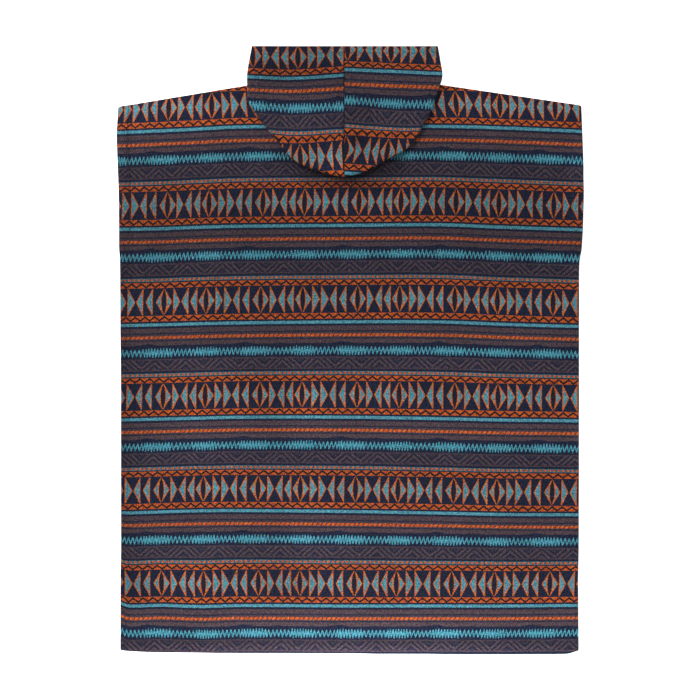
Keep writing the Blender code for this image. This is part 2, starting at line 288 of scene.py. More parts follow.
class Graph:
    """Short ways to add nodes to one shader tree."""

    def __init__(self, tree: bpy.types.NodeTree) -> None:
        """Work in the given tree."""
        self.tree = tree

    def feed(self, node: bpy.types.Node, feeds: Feeds) -> None:
        """Link a node's inputs to terms, or give them plain values."""
        for name, source in feeds.items():
            if isinstance(source, Term):
                self.tree.links.new(source.socket, node.inputs[name])
            else:
                node.inputs[name].default_value = source

    def node(self, kind: str, feeds: Feeds | None = None, **settings: object) -> bpy.types.Node:
        """Add a node, set its properties and feed its inputs."""
        made = self.tree.nodes.new(kind)
        for name, value in settings.items():
            setattr(made, name, value)
        self.feed(made, feeds or {})
        return made

    def read(self, kind: str, output: str | int = 0, feeds: Feeds | None = None,
             **settings: object) -> Term:
        """Add a node and read one of its outputs."""
        return Term(self, self.node(kind, feeds, **settings).outputs[output])

    def math(self, operation: str, *terms: Feed) -> Term:
        """The result of a Math node."""
        return self.read("ShaderNodeMath", 0, dict(enumerate(terms)), operation=operation)

    def vector(self, operation: str, *terms: Feed) -> Term:
        """The vector result of a Vector Math node."""
        return self.read("ShaderNodeVectorMath", 0, dict(enumerate(terms)), operation=operation)

    def blend(self, share: Feed, a: Feed, b: Feed, how: str = "MIX") -> Term:
        """Two colours mixed."""
        return self.read("ShaderNodeMix", 2, {0: share, 6: a, 7: b}, data_type="RGBA", blend_type=how)

    def noise(self, place: Feed, scale: float, detail: float) -> tuple[Term, Term]:
        """The value and the colour of a flat Noise Texture."""
        feeds = {"Vector": place, "Scale": scale, "Detail": detail}
        made = self.node("ShaderNodeTexNoise", feeds, noise_dimensions="2D")
        return Term(self, made.outputs[0]), Term(self, made.outputs[1])

    def bump(self, height: Feed, strength: float, distance: float) -> Term:
        """The normal that a Bump node gives."""
        feeds = {"Height": height, "Strength": strength, "Distance": distance}
        return self.read("ShaderNodeBump", 0, feeds)

    def chart(self, at: Term, length: float, rows: Sequence[Sequence[float]],
              stepped: bool = False) -> list[Term]:
        """Read a table of up to three values along one repeat.

        Args:
            at: Place along the repeat.
            length: Length of the repeat.
            rows: For each stop its place, then its values.
            stepped: Whether the values hold until the next stop.

        Returns:
            Three values. Those that the table lacks are 0.
        """
        made = self.node("ShaderNodeValToRGB", {0: at / length})
        band = made.color_ramp
        band.interpolation = "CONSTANT" if stepped else "LINEAR"
        band.elements.remove(band.elements[-1])
        for index, (place, *values) in enumerate(rows):
            stop = band.elements.new(place / length) if index else band.elements[0]
            stop.position = place / length
            stop.color = (*values, 0.0, 0.0, 0.0)[:3] + (1.0,)
        split = self.node("ShaderNodeSeparateColor", {0: Term(self, made.outputs[0])})
        return [Term(self, output) for output in split.outputs]

    def effect(self, effect: Effect, **feeds: Feed) -> Terms:
        """Place an effect's group, with its inputs fed by name, and read its outputs by name."""
        made = self.node("ShaderNodeGroup", feeds, node_tree=effect.tree())
        return {socket.name: Term(self, socket) for socket in made.outputs}


class Effect:
    """A shader node group, built once and placed wherever it is used."""

    title = ""
    inputs = {"Across": "Float", "Down": "Float"}
    outputs = {"Mask": "Float"}

    def draw(self, graph: Graph, given: Terms) -> Terms:
        """Add the effect's nodes and return a value for each output."""
        raise NotImplementedError

    def tree(self) -> bpy.types.NodeTree:
        """The group's tree, built on first use."""
        found = bpy.data.node_groups.get(self.title)
        if found:
            return found
        made = bpy.data.node_groups.new(self.title, "ShaderNodeTree")
        for way, sockets in (("INPUT", self.inputs), ("OUTPUT", self.outputs)):
            for name, kind in sockets.items():
                made.interface.new_socket(name=name, in_out=way, socket_type=f"NodeSocket{kind}")
        graph = Graph(made)
        entry = graph.node("NodeGroupInput")
        given = {name: Term(graph, entry.outputs[name]) for name in self.inputs}
        graph.node("NodeGroupOutput", self.draw(graph, given))
        return made


def floats(*names: str) -> dict[str, str]:
    """Sockets that hold one number each."""
    return dict.fromkeys(names, "Float")


# ---- the print, charted in millimetres of cloth ----
REPEAT = (183.4, 180.9)             # one repeat, across and down
BANDS = (
    # where each band starts, then its shares of teal, brown and orange ink on the navy ground
    (0.0, 0.0, 0.0, 0.0),
    (2.1, 0.0, 0.0, 0.88),          # zigzag band
    (12.7, 0.0, 0.0, 0.0),
    (15.6, 1.0, 0.0, 0.03),         # plain stripe
    (21.6, 0.0, 0.0, 0.0),
    (25.9, 0.0, 1.0, 0.0),
    (34.6, 0.0, 0.15, 0.0),
    (37.0, 0.0, 0.75, 0.0),         # ground of the rope
    (41.2, 0.0, 0.68, 0.12),
    (45.5, 0.0, 0.75, 0.0),
    (48.3, 0.0, 0.1, 0.0),
    (50.6, 0.0, 1.0, 0.0),
    (59.1, 0.0, 0.0, 0.0),          # ground of the scribble
    (84.4, 0.0, 0.7, 0.0),
    (87.3, 0.0, 0.03, 0.0),         # ground of the chevrons
    (104.7, 0.0, 0.8, 0.0),
    (107.6, 0.0, 0.0, 0.0),
    (111.9, 0.50, 0.35, 0.0),
    (113.3, 0.31, 0.85, 0.0),       # ground of the dashes
    (117.0, 0.50, 0.40, 0.0),
    (118.6, 0.0, 0.0, 0.0),
    (120.4, 0.0, 0.0, 0.87),        # second zigzag band
    (130.5, 0.0, 0.0, 0.0),         # ground of the arrowheads
)
HALF_STEP = 0.5 / 255 * REPEAT[1]   # half a step of a ramp down the repeat, which rounds its stops up
STRIPE_DOWN = 18.1                  # middle of the plain teal stripe
# top and height of each dark zigzag, and where it first reaches its top
ZIGZAG_BANDS = ((3.8, 7.1, 1.0), (122.2, 6.6, 10.7))
ZIGZAG_LINE = 2.0                   # half its thickness, measured down the cloth
ZIGZAG_COUNT = 10
# rows of dashes: top, height, lean, gap, shift
ROPE = (40.7, 5.3, 0.6, 0.28, 0.9)
DASHES = (113.2, 4.0, 0.1, 0.46, 3.1)
DASH_COUNT = 21
SCRIBBLE_GROUND = 58.7
SCRIBBLE_MIDDLE = 72.6
SCRIBBLE_REACH = (7.5, 8.6)         # where the strokes are loose, where they crowd
SCRIBBLE_STROKES = 30
SCRIBBLE = (
    # place across, strokes made up to there, share of crowding
    (0.0, 0.0, 1.0),
    (6.0, 1.0, 1.0),
    (13.5, 2.25, 1.0),
    (18.2, 3.0, 0.0),
    (26.6, 4.0, 0.0),
    (56.3, 8.0, 0.0),
    (63.4, 9.0, 0.8),
    (68.5, 10.0, 1.0),
    (99.8, 16.0, 0.9),
    (105.8, 17.0, 0.0),
    (113.7, 18.0, 0.0),
    (144.5, 22.0, 0.0),
    (150.5, 23.0, 0.8),
    (155.1, 24.0, 1.0),
    (183.4, 29.0, 1.0),
)
SWELL = (
    # place across, how far the ground of the scribble swells up there
    (0.0, 0.0),
    (30.0, 0.4),
    (38.0, 1.4),
    (46.0, 0.2),
    (128.0, 0.2),
    (142.0, 1.6),
    (154.0, 3.6),
    (166.0, 1.4),
    (176.0, 0.0),
)
CHEVRONS = (87.3, 17.4)             # top and height
CHEVRON_PITCH = 10.2                # from line to line, down the band
CHEVRON_TOP = 71.5                  # where the first line's peaks would lie
CHEVRON_DEPTH = 31.0                # from its peaks to its valleys
CHEVRON_TURNS = (
    # place across, share of that depth
    (0.0, 0.80),
    (8.4, 1.0),
    (42.0, 0.0),
    (75.3, 1.0),
    (108.4, 0.0),
    (142.0, 1.0),
    (166.5, 0.33),
    (183.4, 0.80),
)
ARROWHEAD_BAND = (132.1, 49.2)      # top and height
LENS_GAP = 0.8                      # half the gap between back-to-back arrowheads at their ends
ARROWHEADS = (
    # where each arrowhead's share of the band starts, its point, its base, whether it is a half lens
    (0.0, 15.0, 0.0, 1.0),
    (16.4, 29.6, 17.9, 0.0),
    (31.5, 33.3, 45.6, 0.0),
    (47.6, 50.0, 62.2, 0.0),
    (64.0, 66.0, 79.6, 1.0),
    (79.6, 95.2, 79.6, 1.0),
    (96.6, 111.2, 97.9, 0.0),
    (113.0, 128.2, 114.6, 0.0),
    (129.6, 131.3, 143.1, 0.0),
    (146.2, 149.2, 161.5, 0.0),
    (165.1, 168.9, 183.4, 1.0),
)


class PileFuzz(Effect):
    """The place in one repeat, in millimetres, shaken a little because pile has no sharp edge."""

    title = "Pile fuzz"
    inputs = {"Place": "Vector", "Amount": "Float"}
    outputs = floats("Across", "Down", "Random") | {"Cloth": "Vector"}
    grain = (0.75, 1.0)             # scale and detail of the shaking
    spread = (0.28, 1.0)            # and of the share by which strokes differ

    def draw(self, graph: Graph, given: Terms) -> Terms:
        """Scale the place to millimetres, shake it and wrap it into one repeat."""
        cloth = graph.vector("MULTIPLY", given["Place"], (*REPEAT, 1.0))
        shake = graph.vector("SUBTRACT", graph.noise(cloth, *self.grain)[1], (0.5, 0.5, 0.5))
        moved = graph.vector("MULTIPLY_ADD", shake, given["Amount"], cloth)
        split = graph.node("ShaderNodeSeparateXYZ", {0: moved})
        across, down = (
            graph.math("FLOORED_MODULO", Term(graph, output), size)
            for output, size in zip(split.outputs, REPEAT)
        )
        strokes = graph.noise(cloth, *self.spread)[0]
        return {"Across": across, "Down": down, "Random": strokes, "Cloth": cloth}


class ZigzagLine(Effect):
    """A thin line that zigzags along a band."""

    title = "Zigzag line"
    inputs = floats("Across", "Down", "Top", "Height", "Start")

    def draw(self, graph: Graph, given: Terms) -> Terms:
        """Compare the place with the line's height there."""
        half_pitch = REPEAT[0] / ZIGZAG_COUNT / 2
        climb = graph.math("PINGPONG", given["Across"] - given["Start"], half_pitch) / half_pitch
        line = climb.ranged(given["Height"], given["Top"])
        return {"Mask": abs(given["Down"] - line) < ZIGZAG_LINE}


class SlantedDashes(Effect):
    """A row of short slanted dashes."""

    title = "Slanted dashes"
    inputs = floats("Across", "Down", "Top", "Height", "Lean", "Gap", "Shift")

    def draw(self, graph: Graph, given: Terms) -> Terms:
        """Cut the band into leaning parallelograms."""
        into = given["Down"] - given["Top"]
        moved = into.ranged(given["Lean"], given["Across"]) + given["Shift"]
        dash = graph.math("FRACT", moved * (DASH_COUNT / REPEAT[0])) > given["Gap"]
        return {"Mask": dash * into.between(0.0, given["Height"])}


class Scribble(Effect):
    """Upright pen strokes, crowded in some places and loose in others."""

    title = "Scribbled strokes"
    inputs = floats("Across", "Down", "Random")
    lean = 0.008                    # of a stroke, in pitches for each millimetre down
    spread = (0.6, 0.7)             # how much strokes differ in reach, and the shortest's share
    taper = (-0.65, 1.2)            # how a stroke thins from its middle, and its width there
    width = (0.34, 0.56)            # what crowding adds to a stroke's width, and that width loose

    def draw(self, graph: Graph, given: Terms) -> Terms:
        """Run one zigzag pen line whose strokes crowd together by the table."""
        rows = [(x, strokes / SCRIBBLE_STROKES, crowd) for x, strokes, crowd in SCRIBBLE]
        made, crowding, _ = graph.chart(given["Across"], REPEAT[0], rows)
        below = given["Down"] - SCRIBBLE_MIDDLE
        phase = made.ranged(float(SCRIBBLE_STROKES), below * self.lean)
        swing = graph.math("PINGPONG", phase, 0.5).ranged(4.0, -1.0)
        loose, crowded = SCRIBBLE_REACH
        reach = crowding.ranged(crowded - loose, loose) * given["Random"].ranged(*self.spread)
        level = below / reach
        width = crowding.ranged(*self.width) * abs(level).ranged(*self.taper)
        return {"Mask": (abs(swing - level) < width) * (abs(level) < 1.0)}


class NestedChevrons(Effect):
    """Zigzag lines nested in each other across a band."""

    title = "Nested chevrons"
    start = 0.28                    # of the first line, in pitches
    line = 0.56                     # width of a line, as a share of the pitch
    main = (-0.5, 2.5)              # stretch of the full lines, in pitches
    strength = (0.6, 0.4)           # what the full lines have over the faint ones, and theirs

    def draw(self, graph: Graph, given: Terms) -> Terms:
        """Repeat one zigzag down the band."""
        top, height = CHEVRONS
        climb = graph.chart(given["Across"], REPEAT[0], CHEVRON_TURNS)[0]
        below = given["Down"] - CHEVRON_TOP - climb * CHEVRON_DEPTH
        line = graph.math("FRACT", below.ranged(1.0 / CHEVRON_PITCH, self.start)) < self.line
        main = below.between(*(CHEVRON_PITCH * end for end in self.main))
        into = given["Down"] - top
        return {"Mask": line * main.ranged(*self.strength) * into.between(0.0, height)}


class Swell(Effect):
    """Where the ground of the scribble swells up over the band above it."""

    title = "Swelling ground"
    most = 10.0                     # rise that the chart holds as 1
    overlap = 1.0                   # how far the swell reaches down into its own ground

    def draw(self, graph: Graph, given: Terms) -> Terms:
        """Compare the place with the height of the swell there."""
        rows = [(x, up / self.most) for x, up in SWELL]
        rise = graph.chart(given["Across"], REPEAT[0], rows)[0]
        above = SCRIBBLE_GROUND + self.overlap - given["Down"]
        return {"Mask": above.between(0.0, rise.ranged(self.most, self.overlap))}


class Arrowheads(Effect):
    """Outlined arrowheads along a band, some of them back to back round a dark lens."""

    title = "Arrowheads"
    inputs = floats("Across", "Down", "Line", "Bow", "Grow")
    outputs = floats("Outline", "Fill", "Void")
    slant = 0.886                   # turns a distance along the band into one from a sloping edge

    def draw(self, graph: Graph, given: Terms) -> Terms:
        """Read the arrowhead at this place from the chart, and measure to its edges."""
        top, height = ARROWHEAD_BAND
        width = REPEAT[0]
        rows = [(x, point / width, base / width, lens) for x, point, base, lens in ARROWHEADS]
        point, base, lens = graph.chart(given["Across"], width, rows, stepped=True)
        off = abs(given["Down"] - (top + height / 2)) / (height / 2)
        span = base - point
        along = (given["Across"] / width - point) / span
        length = abs(span) * width
        bow = (1.0 - off * off).ranged(given["Bow"], LENS_GAP) * lens
        to_slope = (along - off) * length
        to_base = (1.0 - bow / length - along) * length
        edge = graph.math("MINIMUM", to_slope * self.slant, to_base) + given["Grow"]
        inside = (edge > 0.0) * (off < 1.0)
        fill = inside * (edge > given["Line"])
        return {"Outline": inside - fill, "Fill": fill, "Void": lens * (to_base < 0.0)}


class BandedPrint(Effect):
    """The whole print: its bands and every motif on them, in its inks."""

    title = "Banded print"
    inks = ("Navy", "Black", "Brown", "Teal", "Orange", "Pale", "Amber")
    inputs = {"Place": "Vector", "Fuzz": "Float"} | dict.fromkeys(inks, "Color")
    outputs = {"Colour": "Color", "Cloth": "Vector"}
    void = 0.4                      # how much darker a lens is than the ground
    heads = {"Line": 2.1, "Bow": 4.5, "Grow": 0.7}  # arrowheads: outline, bow of a lens, spread

    def draw(self, graph: Graph, given: Terms) -> Terms:
        """Lay the bands, then each motif, as shares of ink."""
        place = graph.effect(PileFuzz(), Place=given["Place"], Amount=given["Fuzz"])
        spot = {"Across": place["Across"], "Down": place["Down"]}
        teal, brown, band = graph.chart(place["Down"] + HALF_STEP, REPEAT[1], BANDS, stepped=True)
        orange = band
        for top, height, first in ZIGZAG_BANDS:
            line = graph.effect(ZigzagLine(), **spot, Top=top, Height=height, Start=first)["Mask"]
            orange = orange * (1.0 - line)
        for top, height, lean, gap, shift in (ROPE, DASHES):
            dashes = graph.effect(SlantedDashes(), **spot, Top=top, Height=height,
                                  Lean=lean, Gap=gap, Shift=shift)["Mask"]
            orange = graph.math("MAXIMUM", orange, dashes)
        strokes = graph.effect(Scribble(), **spot, Random=place["Random"])["Mask"]
        chevrons = graph.effect(NestedChevrons(), **spot)["Mask"]
        heads = graph.effect(Arrowheads(), **spot, **self.heads)
        swell = graph.effect(Swell(), **spot)["Mask"]
        brown = graph.math("MAXIMUM", brown * (1.0 - swell), chevrons)
        black = graph.math("MAXIMUM", band, heads["Void"] * self.void)
        teal = graph.math("MAXIMUM", teal, strokes)
        colour = graph.blend(black, given["Navy"], given["Black"])
        for share, ink in ((brown, "Brown"), (teal, "Teal"), (orange, "Orange"),
                           (heads["Fill"], "Pale"), (heads["Outline"], "Amber")):
            colour = graph.blend(share, colour, given[ink])
        return {"Colour": colour, "Cloth": place["Cloth"]}


class CutPile(Effect):
    """Cut pile: flecks, glints, tufts, its lie with painted light and shade, and the marks where sewing
    flattens it, with painted shade.
    """

    title = "Cut pile"
    inputs = {"Cloth": "Vector", "Pressed": "Float", "Nap": "Float"}
    outputs = {"Tint": "Color", "Glint": "Color", "Height": "Float"}
    # scale and detail of each layer
    fine, tufts, brushed, glints = (0.48, 2.0), (0.20, 2.0), (0.018, 3.0), (0.42, 1.0)
    # gain and floor of each layer in the tint
    fine_range, tuft_range, brushed_range = (2.0, 0.0), (1.30, 0.35), (0.30, 0.85)
    fleck_range = ((0.8,) * 3, (0.6,) * 3)
    glint_range = ((0.036,) * 3, (-0.018,) * 3)
    glint_shift = (31.0, 17.0, 0.0)  # takes the glints off the tufts
    pressing_and_painted_shade = (-0.3, 1.0)              # what pressing and the painted shade in the grooves take off the tint
    tuft_height = 0.8

    def draw(self, graph: Graph, given: Terms) -> Terms:
        """Mix tufts of three sizes, the lie of the pile and painted light and shade into tints and a
        height.
        """
        cloth = given["Cloth"]
        fine, flecks = graph.noise(cloth, *self.fine)
        tufts = graph.noise(cloth, *self.tufts)[0]
        brushed = graph.noise(cloth, *self.brushed)[0]
        glints = graph.noise(graph.vector("ADD", cloth, self.glint_shift), *self.glints)[1]
        tint = fine.ranged(*self.fine_range) * tufts.ranged(*self.tuft_range)
        # painted light and shade, with the lie of the pile, scale the tint
        tint = tint * brushed.ranged(*self.brushed_range) * (given["Nap"] + 1.0)
        flecks = graph.vector("MULTIPLY_ADD", flecks, *self.fleck_range)
        return {
            # pressing and painted shade in the grooves darken the tint
            "Tint": graph.vector("MULTIPLY", flecks, tint * given["Pressed"].ranged(*self.pressing_and_painted_shade)),
            "Glint": graph.vector("MULTIPLY_ADD", glints, *self.glint_range),
            "Height": fine + tufts * self.tuft_height,
        }


# ---- finishes ----
def new_material(title: str) -> tuple[bpy.types.Material, Graph, bpy.types.Node]:
    """A new material, its tree and its shader."""
    made = bpy.data.materials.new(title)
    made.use_nodes = True
    return made, Graph(made.node_tree), made.node_tree.nodes["Principled BSDF"]


@dataclass(frozen=True)
class PrintedVelour:
    """The right side of the towelling: cut pile, printed in bands."""

    title: str = "Printed velour"
    navy: Colour = (0.0082, 0.0115, 0.0275, 1.0)
    black: Colour = (0.0090, 0.0070, 0.0095, 1.0)
    brown: Colour = (0.0490, 0.0332, 0.0400, 1.0)
    teal: Colour = (0.0470, 0.1950, 0.2500, 1.0)
    orange: Colour = (0.3560, 0.0685, 0.0090, 1.0)
    pale: Colour = (0.0500, 0.1930, 0.2420, 1.0)
    amber: Colour = (0.3500, 0.0860, 0.0130, 1.0)
    fuzz: float = 1.5               # how far the edges of the print are shaken, in millimetres
    sparkle: Pair = (30.0, 0.7)     # what paleness adds to the glints, and their least
    darkest: float = 0.002
    bump: Pair = (0.5, 0.0006)      # strength and height
    roughness: float = 0.92
    specular: float = 0.1
    sheen: float = 0.08
    sheen_roughness: float = 0.45

    def make(self) -> bpy.types.Material:
        """Build the material."""
        made, graph, shader = new_material(self.title)
        place = graph.read("ShaderNodeUVMap", uv_map=PRINT_MAP)
        # point attributes: pressed pile with painted shade in its grooves, and painted light and shade with
        # the pile's lie
        pressed_with_painted_shade, painted_light_and_nap = (
            graph.read("ShaderNodeAttribute", "Fac", attribute_name=name) for name in (PRESSED_WITH_PAINTED_SHADE, PAINTED_LIGHT_AND_NAP)
        )
        inks = {ink: getattr(self, ink.lower()) for ink in BandedPrint.inks}
        printed = graph.effect(BandedPrint(), Place=place, Fuzz=self.fuzz, **inks)
        pile = graph.effect(CutPile(), Cloth=printed["Cloth"], Pressed=pressed_with_painted_shade, Nap=painted_light_and_nap)
        colour = graph.blend(1.0, printed["Colour"], pile["Tint"], "MULTIPLY")
        paleness = graph.read("ShaderNodeRGBToBW", 0, {0: printed["Colour"]})
        sparkle = paleness.ranged(*self.sparkle)
        colour = graph.vector("MULTIPLY_ADD", pile["Glint"], sparkle, colour)
        graph.feed(shader, {
            "Base Color": graph.vector("MAXIMUM", colour, (self.darkest,) * 3),
            "Normal": graph.bump(pile["Height"], *self.bump),
            "Roughness": self.roughness,
            "Specular IOR Level": self.specular,
            "Sheen Weight": self.sheen,
            "Sheen Roughness": self.sheen_roughness,
        })
        return made


@dataclass(frozen=True)
class LoopTerry:
    """The wrong side of the towelling: unprinted loops."""

    title: str = "Loop terry"
    colour: Colour = (0.36, 0.37, 0.42, 1.0)
    shade: Colour = (0.22, 0.23, 0.28, 1.0)
    loops: float = 0.7              # in a millimetre
    bump: Pair = (0.6, 0.0008)      # strength and height
    roughness: float = 0.95

    def make(self) -> bpy.types.Material:
        """Build the material."""
        made, graph, shader = new_material(self.title)
        place = graph.read("ShaderNodeUVMap", uv_map=PRINT_MAP)
        feeds = {"Vector": graph.vector("MULTIPLY", place, (*REPEAT, 1.0)), "Scale": self.loops}
        loops = graph.read("ShaderNodeTexVoronoi", "Distance", feeds, voronoi_dimensions="2D")
        graph.feed(shader, {
            "Base Color": graph.blend(loops, self.colour, self.shade),
            "Normal": graph.bump(loops, *self.bump),
            "Roughness": self.roughness,
        })
        return made


@dataclass(frozen=True)
class SewingThread:
    """Twisted sewing thread."""

    title: str = "Sewing thread"
    colour: Colour = (0.020, 0.020, 0.036, 1.0)
    light: Colour = (0.050, 0.050, 0.075, 1.0)
    twist: float = 900.0            # scale of the twisted strands
    wander: float = 1.5
    bump: Pair = (0.4, 0.0001)      # strength and height
    roughness: float = 0.6

    def make(self) -> bpy.types.Material:
        """Build the material."""
        made, graph, shader = new_material(self.title)
        feeds = {"Vector": graph.read("ShaderNodeTexCoord", "Object"),
                 "Scale": self.twist, "Distortion": self.wander}
        strands = graph.read("ShaderNodeTexWave", "Fac", feeds, bands_direction="DIAGONAL")
        graph.feed(shader, {
            "Base Color": graph.blend(strands, self.colour, self.light),
            "Normal": graph.bump(strands, *self.bump),
            "Roughness": self.roughness,
        })
        return made


# ---- cloth ----
@dataclass(frozen=True)
class Cloth:
    """The towelling, as thick as the frame's solids have it."""

    thickness: float = 0.0024
    gap: float = 0.0003
    hem_depth: float = 0.024
    hem_rise: float = 0.0009        # what a turned hem adds to the thickness
    stitch_in: float = 0.0200       # distance of the stitching from a hem's fold
    groove: float = 0.0004          # depth of the groove that the stitching pulls
    groove_half: float = 0.0013
    groove_lines: Values = (-1.6, -0.8, 0.0, 0.8, 1.6)  # in half widths of the groove
    beside_edge: Values = (0.003, 0.007, 0.012, 0.0165)

    @property
    def layer(self) -> float:
        """Height from one layer of cloth to the next."""
        return self.thickness + self.gap

    def across_groove(self, inset: float) -> list[float]:
        """Distances from an edge of the lines of points across the groove of its stitching."""
        return [inset + self.groove_half * k for k in self.groove_lines]

    def edge_ladder(self) -> list[Pair]:
        """Distances of the lines of points beside an edge, and the cloth's fullness at each."""
        beside = [self.thickness / 2, *self.beside_edge, *self.across_groove(self.stitch_in)]
        return rounded_edge(self.thickness / 2) + [(distance, 1.0) for distance in beside]


@dataclass(frozen=True, slots=True)
class ClothPoint:
    """One point on the mid line of a wall of cloth."""

    place: Vector
    flat: Pair                      # its place in the cloth before that was folded
    half: float                     # half the thickness there
    pressed_with_painted_shade: float = 0.0            # how far sewing flattens the pile, with painted shade in its grooves
    chart: int = 0                  # which part of the bake map it lies in
    lined: bool = False             # whether the wrong side shows plain loops there
    painted_light_and_nap: float = 0.0                # painted light and shade, with how much paler the pile looks for the way it lies


class Facing(Enum):
    """Which way the right side of a piece faces."""

    UP = 1
    DOWN = -1


class Side(Enum):
    """Halves of the garment, as the back is seen."""

    LEFT = -1.0
    RIGHT = 1.0


@dataclass
class ClothWall:
    """A wall of cloth round a mid line of points, closed at its edges."""

    name: str
    rows: list[list[ClothPoint]]
    facing: Facing
    print_place: Callable[[float, float], Pair]
    charts: Table                   # where each chart lies across the bake map
    merge: float = 0.00001
    margin: float = 0.004           # of the bake map, at its top and bottom

    def sheet(self) -> tuple[bmesh.types.BMesh, list[ClothPoint]]:
        """The mid line as one sheet, and the point at each of its vertices."""
        made = bmesh.new()
        source = made.verts.layers.int.new("source")
        points = []
        rows = []
        for given in self.rows:
            row = []
            for point in given:
                vert = made.verts.new(point.place)
                vert[source] = len(points)
                points.append(point)
                row.append(vert)
            rows.append(row)
        for first, second in zip(rows, rows[1:]):
            for i in range(min(len(first), len(second)) - 1):
                face = [first[i], second[i], second[i + 1], first[i + 1]]
                made.faces.new(face if self.facing is Facing.UP else face[::-1])
        bmesh.ops.remove_doubles(made, verts=made.verts[:], dist=self.merge)
        made.normal_update()
        made.verts.index_update()
        return made, [points[vert[source]] for vert in made.verts]

    def build(self) -> Piece:
        """Give the sheet its thickness and its maps.

        Returns:
            The closed wall, with the printed side in material slot 0 and the loops in slot 1.
        """
        sheet, points = self.sheet()
        places, facts, right, wrong = [], [], [], []
        for vert, point in zip(sheet.verts, points):
            reach = vert.normal * point.half
            right.append(len(places))
            places.append(vert.co + reach)
            facts.append(point)
            if not vert.is_boundary:
                places.append(vert.co - reach)
                facts.append(point)
            wrong.append(len(places) - 1)
        faces, slots, charts = [], [], []
        for face in sheet.faces:
            ids = [vert.index for vert in face.verts]
            chart = max(points[i].chart for i in ids)
            lined = all(points[i].lined for i in ids)
            faces += [[right[i] for i in ids], [wrong[i] for i in reversed(ids)]]
            slots += [0, int(lined)]
            charts += [chart, chart + len(self.charts) // 2]
        sheet.free()
        piece = new_piece(self.name, places, faces)
        mesh = piece.data
        mesh.polygons.foreach_set("material_index", slots)
        # point attributes: pressing with painted shade in the grooves, and painted light and shade with the
        # pile's lie
        marks = {PRESSED_WITH_PAINTED_SHADE: [fact.pressed_with_painted_shade for fact in facts], PAINTED_LIGHT_AND_NAP: [fact.painted_light_and_nap for fact in facts]}
        for name, values in marks.items():
            mesh.attributes.new(name, "FLOAT", "POINT").data.foreach_set("value", values)
        flats = np.array([fact.flat for fact in facts])
        corners = read_whole(mesh.loops, "vertex_index")
        printed = np.array([self.print_place(x, y) for x, y in flats])[corners]
        baked = self.bake_places(flats[corners], np.repeat(charts, read_whole(mesh.polygons, "loop_total")))
        for name, spots in ((PRINT_MAP, printed), (BAKE_MAP, baked)):
            mesh.uv_layers.new(name=name).data.foreach_set("uv", spots.astype(np.float32).ravel())
        return piece

    def bake_places(self, flats: np.ndarray, charts: np.ndarray) -> np.ndarray:
        """Each corner's place in the bake map, where every chart has a strip of its own.

        Args:
            flats: Each corner's place in the flat cloth.
            charts: The chart that each corner belongs to.

        Returns:
            Places from 0 to 1 across and up.
        """
        places = np.zeros(flats.shape)
        for chart, (low, high) in enumerate(self.charts):
            mine = charts == chart
            if mine.any():
                least, most = flats[mine].min(0), flats[mine].max(0)
                share = (flats[mine] - least) / np.maximum(most - least, TINY)
                start = np.array((low, self.margin))
                places[mine] = start + share * ((high, 1.0 - self.margin) - start)
        return places


# ---- body ----
@dataclass(frozen=True)
class Nap:
    """Soft patches of painted light and shade, in part where the pile lies towards the light or away from
    it.
    """

    patches: Table                  # middle of each, its half widths, how much paler it looks: painted light, and painted shade where below 0
    least: float = -0.85

    def at(self, x: float, y: float) -> float:
        """How much paler the painted light and shade make the pile look at a point."""
        paler = 0.0
        for mid_x, mid_y, half_x, half_y, amount in self.patches:
            paler += amount * bell(x - mid_x, half_x) * bell(y - mid_y, half_y)
        return max(paler, self.least)
